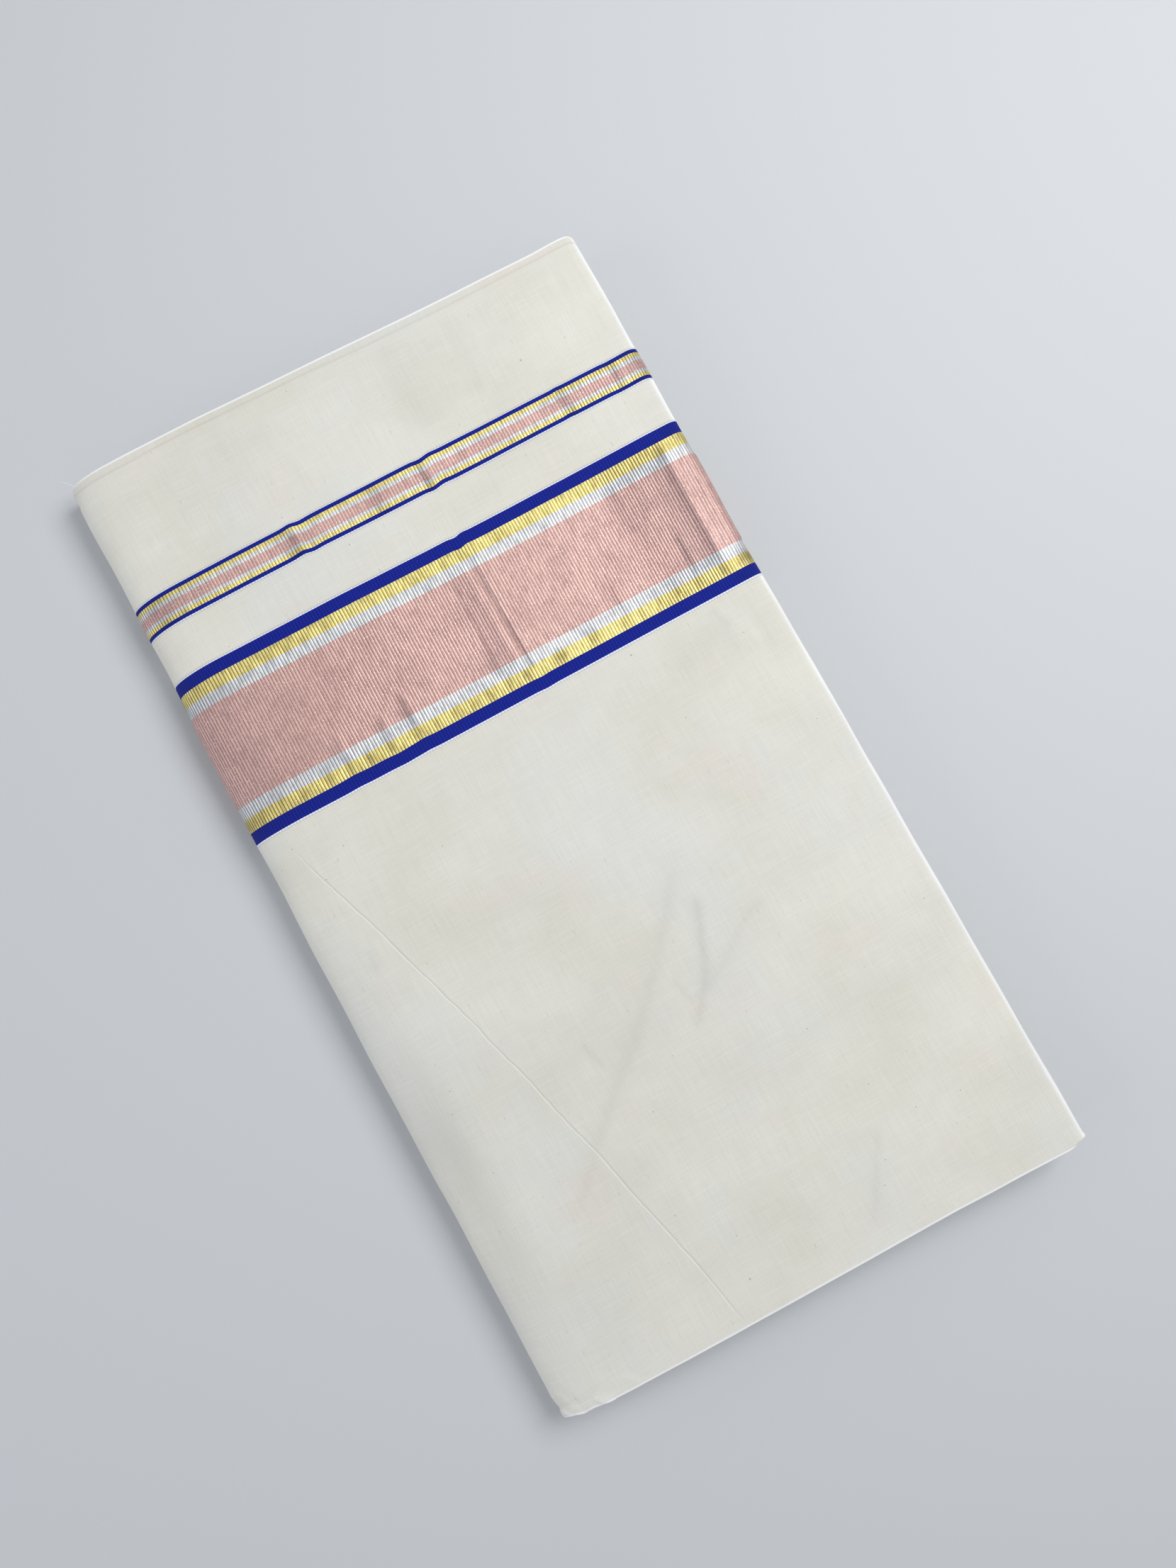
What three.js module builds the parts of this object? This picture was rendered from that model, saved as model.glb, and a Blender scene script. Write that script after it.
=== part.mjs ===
// A cotton sari folded into a flat packet, with a narrow and a wide metal-thread band across it.
// Millimetres, +Z up, X across the packet, +Y towards the pallu end, origin under its middle.
//
// The cloth was folded along its length into panels as long as the packet, and then in half
// twice across. The outer cloth shows on the top, round the left side, where the last fold
// runs through the whole thickness, and on the underside. At the right the upper half is a
// roll that tucks back at mid height, over the stacked selvedges of the lower half.
import * as THREE from 'three';

// Packet
const HEAD_Y = 270.65; // where the folded head end crosses the middle line
const FOOT_Y = -269.35;
const HEAD_WIDTH = 294.6;
const FOOT_WIDTH = 305.5;
const HEAD_SKEW = 5.2; // how much further out the left corner lies than the right one
const FOOT_SKEW = 7.9; // how much further in the left corner lies than the right one
const THICKNESS = 30;

// Outer cloth
const WALL = 1.2; // the outer layer with the one that clings to it
const SEAM = 0.3;
const LINING_GAP = 0.4; // from the outer cloth to the hidden layers
const CORE_INSET = WALL + LINING_GAP;

// Section, seen from the foot: tucked flap, right roll, top, left shoulder, left heel, underside
const MID_Z = THICKNESS / 2;
const ROLL_R = (THICKNESS - MID_Z) / 2;
const TUCK = 12; // depth of the flap that goes back in under the roll
const SHOULDER_REACH = 29;
const HEEL_REACH = 14;
const UNDER_EDGE = 4; // the selvedge lies this far in from the right side

// Stretches along Y
const NARROW_BAND = { head: 200.65, foot: 181.55 };
const WIDE_BAND = { head: 156.2, foot: 63.4 };

// Ribs that the thick metal thread raises in both bands
const RIB_PITCH = 1.73;
const RIB_HEIGHT = 0.3;
const SHOULDER_LENGTH = 35.6; // along the shoulder's curve
const HEEL_LENGTH = 22.8; // along the heel's curve
const RIBBED_HEEL = 0.6; // share of the heel that is ribbed, clear of the flat underside

// Corners, as the radius of each one's rounding
const CORNERS = { headLeft: 2.4, headRight: 1.6, footRight: 2.4, footLeft: 1.2 };

// Distances in from a folded end where a row of points lies, and how much the cloth thins there
const END_ROWS = [
  { inset: 0, thinning: 0.6 },
  { inset: 0.7, thinning: 0.25 },
  { inset: 1.5, thinning: 0 },
  { inset: 2.5, thinning: 0 },
  { inset: 8, thinning: 0 },
];

// Points along each run of the plain section
const STATIONS = { tuck: 1, roll: 12, top: 1, shoulder: 11, heel: 7, under: 1 };

// The long crease that runs slantwise down the body, as x over the distance down from its start
const CREASE = {
  startX: -132.7,
  startY: 55.1,
  slope: 0.345,
  bend: -0.00023,
  halfWidth: 4,
  height: 0.7,
  crest: 0.3, // share of the half width where the crest rounds off
  lean: 0.7, // height of the crest's left side, as a share of its right side's
  fadeStart: 8, // it begins to rise this far above its start
  fadeLength: 40,
};

// Points and rows of the body on both sides of the crease
const BODY = {
  rightColumns: 5,
  leftColumns: 4,
  ridgeClear: 12, // the crease stays this far in from the left side
  edgeClear: 4, // the last column on the shoulder before its turn
  turns: [0.4, 0.7], // shares of the shoulder's turn that carry a point each
  rowStep: 22,
  lastRow: 30, // how far in from the foot end its even rows stop
};

// Hidden layers from the underside up: thickness of each packed bundle of folds, and how far
// its edge lies in from the outline at the head, foot and right side
const LOWER_BUNDLES = [
  { depth: 3.1, head: 1.2, foot: 0.6, right: 3.4 },
  { depth: 3.5, head: 0.5, foot: 1.6, right: 1.9 },
  { depth: 3.0, head: 1.9, foot: 0.9, right: 3.9 },
  { depth: 3.6, head: 0.8, foot: 0.3, right: 2.3 },
];
const UPPER_BUNDLES = [
  { depth: 2.8, head: 1.4, foot: 1.1 },
  { depth: 3.1, head: 0.4, foot: 0.5 },
  { depth: 2.9, head: 1.1, foot: 1.5 },
  { depth: 3.0, head: 0.6, foot: 0.7 },
];
const GROOVE = 0.9; // depth of the groove between two bundles
const EDGE_ROUNDING = 0.22; // share of a bundle's depth that rounds over at each side

const ARC_SAMPLES = 200; // steps that measure the length of a run

const lerp = (a, b, t) => a + (b - a) * t;
const radians = (degrees) => (degrees * Math.PI) / 180;

/** Y of the head end at x. */
const headY = (x) => HEAD_Y - (HEAD_SKEW * x) / HEAD_WIDTH;

/** Y of the foot end at x. */
const footY = (x) => FOOT_Y - (FOOT_SKEW * x) / FOOT_WIDTH;

/** Half the packet's width at y, which grows evenly from head to foot. */
const halfWidth = (y) => lerp(FOOT_WIDTH, HEAD_WIDTH, (y - FOOT_Y) / (HEAD_Y - FOOT_Y)) / 2;

/** How far a rounded corner holds the side in, at a distance in from the end. */
function cornerInset(radius, inset) {
  const rounding = (d) => (d < radius ? radius - Math.sqrt(radius ** 2 - (radius - d) ** 2) : 0);
  const next = END_ROWS.findIndex((row) => row.inset > inset);
  if (next < 1) return 0;
  const low = END_ROWS[next - 1].inset;
  const high = END_ROWS[next].inset;
  return lerp(rounding(low), rounding(high), (inset - low) / (high - low));
}

/** Left and right X of the outline, and its Y at any x, for one row of points. */
function rowLimits(row) {
  const corners = row.end === 'head'
    ? [CORNERS.headLeft, CORNERS.headRight]
    : [CORNERS.footLeft, CORNERS.footRight];
  const [leftIn, rightIn] = row.end ? corners.map((radius) => cornerInset(radius, row.inset)) : [0, 0];
  const yAt = (x) => {
    if (row.end === 'head') return headY(x) - row.inset;
    if (row.end === 'foot') return footY(x) + row.inset;
    return row.y;
  };
  const near = row.end ? yAt(0) : row.y;
  return { left: -halfWidth(near) + leftIn, right: halfWidth(near) - rightIn, yAt };
}

/** A point of an ellipse round (x, z), with its outward normal. */
function arcPoint(x, z, reach, rise, degrees) {
  const c = Math.cos(radians(degrees));
  const s = Math.sin(radians(degrees));
  const normal = new THREE.Vector2(c * rise, s * reach).normalize();
  return { x: x + reach * c, z: z + rise * s, nx: normal.x, nz: normal.y };
}

/** The outer face along each run of the section, for u from 0 to 1, with its outward normal. */
const RUNS = {
  tuck: (u, { right }) => ({ x: right - ROLL_R - TUCK * (1 - u), z: MID_Z, nx: 0, nz: -1 }),
  roll: (u, { right }) => arcPoint(right - ROLL_R, MID_Z + ROLL_R, ROLL_R, ROLL_R, 180 * u - 90),
  top: (u, { left, right }) => ({
    x: lerp(right - ROLL_R, left + SHOULDER_REACH, u), z: THICKNESS, nx: 0, nz: 1,
  }),
  shoulder: (u, { left }) =>
    arcPoint(left + SHOULDER_REACH, MID_Z, SHOULDER_REACH, THICKNESS - MID_Z, 90 + 90 * u),
  heel: (u, { left }) => arcPoint(left + HEEL_REACH, MID_Z, HEEL_REACH, MID_Z, 180 + 90 * u),
  under: (u, { left, right }) => ({
    x: lerp(left + HEEL_REACH, right - UNDER_EDGE, u), z: 0, nx: 0, nz: -1,
  }),
};

/** Stations at even steps of the surface along one run, without the run's last point. */
function evenStations(run, count) {
  const limits = { left: -HEAD_WIDTH / 2, right: HEAD_WIDTH / 2 };
  const travelled = [0];
  for (let i = 1; i <= ARC_SAMPLES; i += 1) {
    const a = RUNS[run]((i - 1) / ARC_SAMPLES, limits);
    const b = RUNS[run](i / ARC_SAMPLES, limits);
    travelled.push(travelled[i - 1] + Math.hypot(b.x - a.x, b.z - a.z));
  }
  const stations = [];
  for (let k = 0; k < count; k += 1) {
    const target = (travelled[ARC_SAMPLES] * k) / count;
    const i = Math.max(1, travelled.findIndex((d) => d >= target));
    const share = (target - travelled[i - 1]) / (travelled[i] - travelled[i - 1]);
    stations.push({ run, u: (i - 1 + share) / ARC_SAMPLES, relief: 0 });
  }
  return stations;
}

const sectionEnd = { run: 'under', u: 1, relief: 0 };

/** The plain section: enough stations that its round runs look round. */
function plainStations() {
  const stations = Object.keys(RUNS).flatMap((run) => evenStations(run, STATIONS[run]));
  return [...stations, sectionEnd];
}

/** The ribbed section: a valley and a crest for each rib, from the roll down to the heel. */
function ribbedStations() {
  const topLength = (HEAD_WIDTH + FOOT_WIDTH) / 2 - ROLL_R - SHOULDER_REACH;
  const ribs = (run, length) => {
    const count = 2 * Math.round(length / RIB_PITCH);
    return evenStations(run, count).map((station, i) => ({ ...station, relief: (i % 2) * RIB_HEIGHT }));
  };
  const heelRibs = ribs('heel', HEEL_LENGTH)
    .map((station) => (station.u > RIBBED_HEEL ? { ...station, relief: 0 } : station));
  return [
    ...evenStations('tuck', STATIONS.tuck),
    ...ribs('roll', Math.PI * ROLL_R),
    ...ribs('top', topLength),
    ...ribs('shoulder', SHOULDER_LENGTH),
    ...heelRibs,
    ...evenStations('under', STATIONS.under),
    sectionEnd,
  ];
}

/** X of the long crease at y. */
function creaseX(y) {
  const down = CREASE.startY - y;
  return CREASE.startX + CREASE.slope * down + CREASE.bend * down ** 2;
}

/** The station on the top or the left shoulder that lies at x. */
function stationAtX(x, { left, right }, relief) {
  const plateauLeft = left + SHOULDER_REACH;
  if (x >= plateauLeft) {
    return { run: 'top', u: (right - ROLL_R - x) / (right - ROLL_R - plateauLeft), relief };
  }
  const angle = Math.acos((x - plateauLeft) / SHOULDER_REACH);
  return { run: 'shoulder', u: (angle * 2) / Math.PI - 1, relief };
}

/** Height of the long crease at y, which fades in below its start. */
function creaseHeight(y) {
  const share = (CREASE.startY + CREASE.fadeStart - y) / CREASE.fadeLength;
  return CREASE.height * Math.min(1, Math.max(0, share));
}

/** Stations with no relief, evenly spaced between two places along x. */
function evenColumns(fromX, toX, shares, limits) {
  return shares.map((share) => stationAtX(lerp(fromX, toX, share), limits, 0));
}

/** The body's section: columns on both sides of the crease, and the crease as a soft ridge. */
function creasedStations(limits, y) {
  const ridgeX = Math.max(creaseX(y), limits.left + BODY.ridgeClear);
  const rise = creaseHeight(y);
  const crest = CREASE.halfWidth * CREASE.crest;
  const rightShares = Array.from({ length: BODY.rightColumns }, (_, i) => (i + 1) / BODY.rightColumns);
  const leftShares = Array.from({ length: BODY.leftColumns + 1 }, (_, i) => i / BODY.leftColumns);
  const columns = [
    ...evenColumns(limits.right - ROLL_R, ridgeX + CREASE.halfWidth, rightShares, limits),
    stationAtX(ridgeX + crest, limits, rise),
    stationAtX(ridgeX - crest, limits, rise * CREASE.lean),
    ...evenColumns(ridgeX - CREASE.halfWidth, limits.left + BODY.edgeClear, leftShares, limits),
  ];
  const lastTurn = columns.at(-1).u;
  const turns = BODY.turns.map((share) => ({ run: 'shoulder', u: lerp(lastTurn, 1, share), relief: 0 }));
  return [
    ...evenStations('tuck', STATIONS.tuck),
    ...evenStations('roll', STATIONS.roll),
    { run: 'top', u: 0, relief: 0 },
    ...columns,
    ...turns,
    ...evenStations('heel', STATIONS.heel),
    ...evenStations('under', STATIONS.under),
    sectionEnd,
  ];
}

/** One closed loop of the wall: its outer face out, its plain inner face back. */
function wallLoop(row, outerStations) {
  const limits = rowLimits(row);
  const place = ({ run, u }, offset) => {
    const p = RUNS[run](u, limits);
    const x = p.x + p.nx * offset;
    return new THREE.Vector3(x, limits.yAt(x), p.z + p.nz * offset);
  };
  const thinned = new Set(['roll', 'top', 'shoulder']);
  const outer = outerStations.map((station) => {
    const thinning = thinned.has(station.run) ? row.thinning ?? 0 : 0;
    return place(station, station.relief - thinning);
  });
  const inner = plainStations().map((station) => place(station, -WALL));
  return [...outer, ...inner.reverse()];
}

/** How far along its section each station lies, as its run's number and its share of that run. */
function travelAlong(stations) {
  const order = Object.keys(RUNS);
  return stations.map(({ run, u }) => order.indexOf(run) + u);
}

/** Triangles between a loop's first stretch and its second, which runs back beside the first. */
function zipTriangles(forward, back) {
  const count = forward.length + back.length;
  const triangles = [];
  let i = 0;
  let j = 0;
  while (i + 1 < forward.length || j + 1 < back.length) {
    const stepForward = j + 1 >= back.length
      || (i + 1 < forward.length && forward[i + 1] <= back[j + 1]);
    if (stepForward) {
      triangles.push([i, i + 1, count - 1 - j]);
      i += 1;
    } else {
      triangles.push([i, count - 2 - j, count - 1 - j]);
      j += 1;
    }
  }
  return triangles;
}

/** A closed solid through closed loops with the same number of points, capped at both ends. */
function loft(loops, firstCap, lastCap, name, material) {
  const count = loops[0].length;
  const positions = loops.flat().flatMap((p) => [p.x, p.y, p.z]);
  const indices = [];
  for (let r = 0; r + 1 < loops.length; r += 1) {
    for (let i = 0; i < count; i += 1) {
      const a = r * count + i;
      const b = r * count + ((i + 1) % count);
      indices.push(a, b, b + count, a, b + count, a + count);
    }
  }
  const last = (loops.length - 1) * count;
  for (const [a, b, c] of firstCap) indices.push(a, c, b);
  for (const [a, b, c] of lastCap) indices.push(last + a, last + b, last + c);
  const geometry = new THREE.BufferGeometry();
  geometry.setAttribute('position', new THREE.Float32BufferAttribute(positions, 3));
  geometry.setIndex(indices);
  geometry.computeVertexNormals();
  const mesh = new THREE.Mesh(geometry, material);
  mesh.name = name;
  return mesh;
}

/** Wall through rows that run from the foot side to the head side. */
function wall(name, rows, stationsFor, material) {
  const sections = rows.map((row) => {
    const limits = rowLimits(row);
    return stationsFor(limits, limits.yAt(0));
  }).reverse();
  const loops = [...rows].reverse().map((row, i) => wallLoop(row, sections[i]));
  const inner = travelAlong(plainStations());
  const caps = [sections[0], sections.at(-1)].map((section) => zipTriangles(travelAlong(section), inner));
  return loft(loops, ...caps, name, material);
}

const endRows = (end) => END_ROWS.map((row) => ({ ...row, end }));

function cottonCloth() {
  return new THREE.MeshStandardMaterial({ color: 0xdbdad2, roughness: 0.85, metalness: 0 });
}

function metalThreadCloth() {
  return new THREE.MeshStandardMaterial({ color: 0xd1b0a8, roughness: 0.45, metalness: 0.4 });
}

function pallu() {
  const rows = [{ y: NARROW_BAND.head + SEAM }, ...endRows('head').reverse()];
  return wall('pallu_end', rows, plainStations, cottonCloth());
}

function band(name, { head, foot }) {
  return wall(name, [{ y: foot }, { y: head }], ribbedStations, metalThreadCloth());
}

function bandGap() {
  const rows = [{ y: WIDE_BAND.head + SEAM }, { y: NARROW_BAND.foot - SEAM }];
  return wall('band_gap', rows, plainStations, cottonCloth());
}

function body() {
  const start = WIDE_BAND.foot - SEAM;
  const lastRow = FOOT_Y + BODY.lastRow;
  const count = Math.round((start - lastRow) / BODY.rowStep);
  const middle = Array.from({ length: count + 1 }, (_, i) => ({ y: lerp(lastRow, start, i / count) }));
  return wall('body_panel', [...endRows('foot'), ...middle], creasedStations, cottonCloth());
}

/** How far in the hidden layers' left side lies at height z, inside the shoulder and heel. */
function hiddenLeft(z) {
  const reach = z > MID_Z ? SHOULDER_REACH : HEEL_REACH;
  const share = Math.min(1, Math.abs(z - MID_Z) / (MID_Z - CORE_INSET));
  return reach - (reach - CORE_INSET) * Math.sqrt(1 - share ** 2);
}

/** How far in the upper bundles' right side lies at height z, inside the roll. */
function hiddenRoll(z) {
  const radius = ROLL_R - CORE_INSET;
  const share = Math.min(1, Math.abs(z - MID_Z - ROLL_R) / radius);
  return ROLL_R - radius * Math.sqrt(1 - share ** 2);
}

/** Levels of one stack of bundles from z up: a groove and two rounded edges for each. */
function bundleLevels(bundles, z, rightAt) {
  const levels = [];
  let floor = z;
  for (const bundle of bundles) {
    const edge = { head: bundle.head, foot: bundle.foot };
    const sunk = { head: bundle.head + GROOVE, foot: bundle.foot + GROOVE };
    const steps = [
      { share: 0, ...sunk, extra: GROOVE },
      { share: EDGE_ROUNDING, ...edge, extra: 0 },
      { share: 1 - EDGE_ROUNDING, ...edge, extra: 0 },
    ];
    for (const { share, head, foot, extra } of steps) {
      const height = floor + share * bundle.depth;
      levels.push({ z: height, head, foot, right: rightAt(height, bundle, extra) });
    }
    floor += bundle.depth;
  }
  const top = levels.at(-1);
  levels.push({ ...top, z: floor, right: rightAt(floor, bundles.at(-1), GROOVE) });
  return levels;
}

/** Plan outline of the hidden layers at one level, counter-clockwise from above. */
function planLoop({ z, head, foot, right }) {
  const side = (end, edge) => endRows(end).map(({ inset }) => {
    const row = { end, inset: inset + edge };
    return rowLimits(row);
  });
  const left = hiddenLeft(z);
  const at = (x, limits) => new THREE.Vector3(x, limits.yAt(x), z);
  const footRows = side('foot', foot);
  const headRows = side('head', head);
  return [
    ...footRows.map((limits) => at(limits.right - right, limits)),
    ...headRows.map((limits) => at(limits.right - right, limits)).reverse(),
    ...headRows.map((limits) => at(limits.left + left, limits)),
    ...footRows.map((limits) => at(limits.left + left, limits)).reverse(),
  ];
}

/** The hidden layers as one solid: stacked selvedges below, the slot for the tuck, folds above. */
function foldedLayers() {
  const slotFloor = MID_Z - SEAM;
  const slotTop = MID_Z + CORE_INSET;
  const slotDepth = ROLL_R + TUCK + LINING_GAP;
  const base = WALL + SEAM;
  const scale = (bundles, height) => {
    const total = bundles.reduce((sum, bundle) => sum + bundle.depth, 0);
    return bundles.map((bundle) => ({ ...bundle, depth: (bundle.depth * height) / total }));
  };
  const lower = bundleLevels(
    scale(LOWER_BUNDLES, slotFloor - base), base, (z, bundle, extra) => bundle.right + extra,
  );
  const upper = bundleLevels(
    scale(UPPER_BUNDLES, THICKNESS - CORE_INSET - slotTop), slotTop, (z) => hiddenRoll(z),
  );
  const slot = [
    { ...lower.at(-1), right: slotDepth },
    { ...upper[0], right: slotDepth },
  ];
  const loops = [...lower, ...slot, ...upper].map(planLoop);
  const sidePoints = Array.from({ length: loops[0].length / 2 }, (_, i) => i);
  const cap = zipTriangles(sidePoints, sidePoints);
  return loft(loops, cap, cap, 'folded_layers', cottonCloth());
}

const group = new THREE.Group();
group.add(
  foldedLayers(),
  pallu(),
  band('narrow_band', NARROW_BAND),
  bandGap(),
  band('wide_band', WIDE_BAND),
  body(),
);

export default group;
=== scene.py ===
"""The looks of a cream cotton sari folded into a flat packet, with two ribbed metal-thread bands.

Lengths are in millimetres up to the point where a mesh is made. X runs across the packet, +Y
towards the pallu end and +Z up. The outer cloth is a surface of two parameters: how far round
the packet's section a point lies, and how far along the packet.
"""
import math

import bpy
import numpy as np
from mathutils import Matrix


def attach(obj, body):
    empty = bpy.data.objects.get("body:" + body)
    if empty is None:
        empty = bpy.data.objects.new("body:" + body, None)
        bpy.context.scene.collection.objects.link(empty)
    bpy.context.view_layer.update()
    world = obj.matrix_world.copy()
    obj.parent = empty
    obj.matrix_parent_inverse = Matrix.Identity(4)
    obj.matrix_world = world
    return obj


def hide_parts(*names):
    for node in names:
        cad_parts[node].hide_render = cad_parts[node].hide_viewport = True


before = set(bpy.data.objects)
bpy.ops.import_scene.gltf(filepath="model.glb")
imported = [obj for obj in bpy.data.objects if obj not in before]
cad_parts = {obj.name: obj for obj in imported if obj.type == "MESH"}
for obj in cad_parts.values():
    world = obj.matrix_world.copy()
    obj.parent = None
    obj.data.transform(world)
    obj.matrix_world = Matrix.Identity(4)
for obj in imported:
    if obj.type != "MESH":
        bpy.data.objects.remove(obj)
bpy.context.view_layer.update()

MM = 0.001

# ---------------------------------------------------------------- sizes of the packet
HEAD_Y = 270.65  # where the pallu end crosses the middle line
FOOT_Y = -269.35
HEAD_WIDTH = 294.6
FOOT_WIDTH = 305.5
HEAD_SKEW = 5.2
FOOT_SKEW = 7.9
THICKNESS = 30.0

MID_Z = THICKNESS / 2
ROLL_R = (THICKNESS - MID_Z) / 2
TUCK = 12.0
SHOULDER_REACH = 29.0
HEEL_REACH = 14.0
UNDER_EDGE = 4.0

CLOTH = 0.7  # the outer layer with the one that clings to it
LAYERS_INSET = 1.0  # from the outer face to the hidden layers
FOLD_ROUND = 1.0  # rounding of the outer layer where it turns over an end

# How far the ends depart from straight lines: x, and y outwards for the head, +y for the foot
HEAD_WAVES = [
    (-147, 0.1), (-142, -0.3), (-134, -0.6), (-122, -0.8), (-109, -0.4), (-90, 0.0), (-73, 0.3),
    (-40, 0.1), (0, 0.0), (24, -0.3), (49, -0.5), (73, -0.3), (90, 0.0), (122, 0.2), (134, 0.8),
    (143, 0.8), (147, 0.2),
]
FOOT_WAVES = [
    (-153, -1.2), (-149, 0.4), (-145, 1.2), (-139, 0.7), (-134, 1.4), (-127, 1.0), (-114, 0.6),
    (-89, 0.35), (-76, 0.0), (-57, -0.2), (-13, 0.0), (13, -0.1), (57, 0.1), (76, 0.1), (95, -0.25),
    (114, -0.5), (127, -0.9), (140, -1.2), (146, -1.1), (149, -1.3), (153, -1.4),
]
# How far the two long sides lie outwards of straight lines: y, and the distance
LEFT_WAVES = [
    (-270, -0.3), (-180, -0.3), (-157, 0.0), (-135, 0.5), (-90, 0.7), (-45, 0.6), (0, 1.2), (23, 1.1),
    (45, 0.7), (90, 0.6), (158, 0.5), (203, 0.2), (226, 0.0), (248, 0.4), (272, 0.3),
]
RIGHT_WAVES = [
    (-270, 0.0), (-203, 0.0), (-158, -0.2), (-113, -0.75), (-68, -0.45), (-45, -0.5), (-23, -0.3),
    (0, -0.8), (45, -1.05), (67, -1.4), (90, -1.3), (135, -1.0), (180, -0.65), (202, -0.4), (225, 0.2),
    (272, 0.0),
]

# How far each corner holds the side in: distance from the end, hold
CORNER_HOLDS = {
    "head_left": [
        (0, 1.7), (0.6, 1.2), (2.0, 0.7), (4.0, 0.0), (5.0, 0.1), (7.5, 0.6), (8.5, 0.3), (9.5, 0.5),
        (12, 0),
    ],
    "head_right": [(0, 1.2), (0.6, 0.5), (2, 0.2), (6, 0)],
    "foot_right": [
        (0, 6.0), (0.3, 5.0), (0.6, 4.3), (1.0, 3.4), (1.7, 1.9), (2.4, -0.6), (3.1, -0.4), (4.0, 0),
        (8, 0),
    ],
    "foot_left": [(0, 1.2), (1.2, 0.4), (3, 0.3), (6, 0.9), (9, 0.2), (13, -0.2), (18, 0)],
}

# How far the weave's lines sway in y as they cross the packet, at some x for each of four y
SWAY_X = [-120, -90, -50, 0, 50, 90, 125]
SWAY = {
    200: [0.1, 0.5, 0.2, 0.0, -0.4, -0.4, -0.7],
    182: [0.8, 0.9, 0.6, 0.0, -0.2, 0.0, -0.3],
    156: [1.1, 0.9, 0.7, 0.0, -0.2, -0.1, 0.1],
    64: [0.7, 0.4, 0.2, 0.0, -0.1, -0.1, -0.2],
}
# Kinks of the bands' lines: x, y, reach across, reach along, distance in y
KINKS = [
    (-57, 191, 4.0, 14, 0.8), (-51, 191, 4.0, 14, -0.5), (18.5, 191, 3.5, 14, -0.8),
    (24, 191, 4.0, 14, 0.5), (98, 191, 2.5, 10, 0.4), (131, 191, 5.0, 12, -0.5),
    (15, 152, 3.0, 9, -0.7), (19, 152, 3.0, 9, 0.4),
    (20, 68, 4.0, 8, -0.4), (-88, 70, 5.0, 8, 0.4), (-62, 70, 5.0, 8, -0.4), (-48, 70, 4.0, 8, 0.4),
]

# ---------------------------------------------------------------- stripes of the two bands
FINISH_ORDER = ("cream", "edge", "blue", "gold", "silver", "rose")
# Finish and width of each stripe, from the head side to the foot side
NARROW_HEAD = 200.65
NARROW_STRIPES = [
    ("edge", 0.35), ("blue", 2.1), ("gold", 2.3), ("silver", 2.15), ("rose", 5.3),
    ("silver", 1.8), ("gold", 2.35), ("blue", 2.1), ("edge", 0.65),
]
WIDE_HEAD = 156.2
WIDE_STRIPES = [
    ("edge", 0.6), ("blue", 6.4), ("gold", 6.6), ("silver", 6.0), ("rose", 52.2),
    ("silver", 6.5), ("gold", 7.0), ("blue", 6.6), ("edge", 0.9),
]
NARROW_FOOT = NARROW_HEAD - sum(width for _, width in NARROW_STRIPES)
WIDE_FOOT = WIDE_HEAD - sum(width for _, width in WIDE_STRIPES)
RIB_PITCH = 1.73
RIB_HEIGHT = {"cream": 0.15, "edge": 0.20, "blue": 0.22, "gold": 0.36, "silver": 0.36, "rose": 0.30}
PUCKER_FADE = 3.2  # how far the ribs run on into the plain cloth before they are a third as high
PUCKER_ZONE = 12.0  # and where they have gone


def interpolate(table, x):
    """Straight lines between the rows of a table of two columns."""
    columns = np.array(table, float).T
    return np.interp(x, columns[0], columns[1])


def head_y(x):
    """Y of the head end: a slightly skewed line with slow waves."""
    return HEAD_Y - HEAD_SKEW * x / HEAD_WIDTH + interpolate(HEAD_WAVES, x)


def foot_y(x):
    """Y of the foot end: a slightly skewed line with slow waves."""
    return FOOT_Y - FOOT_SKEW * x / FOOT_WIDTH + interpolate(FOOT_WAVES, x)


def half_width(y):
    """Half the width at y, which grows evenly from the head to the foot."""
    share = (y - FOOT_Y) / (HEAD_Y - FOOT_Y)
    return (FOOT_WIDTH + (HEAD_WIDTH - FOOT_WIDTH) * share) / 2


def left_x(y):
    """X of the left side at y, which has slow waves."""
    return -half_width(y) - interpolate(LEFT_WAVES, y)


def right_x(y):
    """X of the right side at y, which has slow waves."""
    return half_width(y) + interpolate(RIGHT_WAVES, y)


def sway(x, y):
    """How far a line of the weave at y has moved in y at x: the four rows of SWAY, blended."""
    ys = sorted(SWAY)
    rows = [np.interp(x, SWAY_X, SWAY[row]) for row in ys]
    moved = rows[0]
    for low, high, row in zip(ys[:-1], ys[1:], rows[1:]):
        moved = moved + (row - moved) * np.clip((y - low) / (high - low), 0, 1)
    for at_x, at_y, across, along, distance in KINKS:
        moved = moved + distance * np.exp(-((x - at_x) / across) ** 2 - ((y - at_y) / along) ** 2)
    return moved


def smooth(low, high, value):
    """0 below low, 1 above high, and a smooth S between them."""
    t = np.clip((value - low) / (high - low), 0, 1)
    return t * t * (3 - 2 * t)


# ---------------------------------------------------------------- section
RUNS = ("tuck", "roll", "top", "shoulder", "heel", "under")


def arc(centre_x, centre_z, reach, rise, degrees):
    """Points of an ellipse and its outward normals."""
    c, s = np.cos(np.radians(degrees)), np.sin(np.radians(degrees))
    size = np.hypot(c * rise, s * reach)
    return centre_x + reach * c, centre_z + rise * s, c * rise / size, s * reach / size


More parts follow.
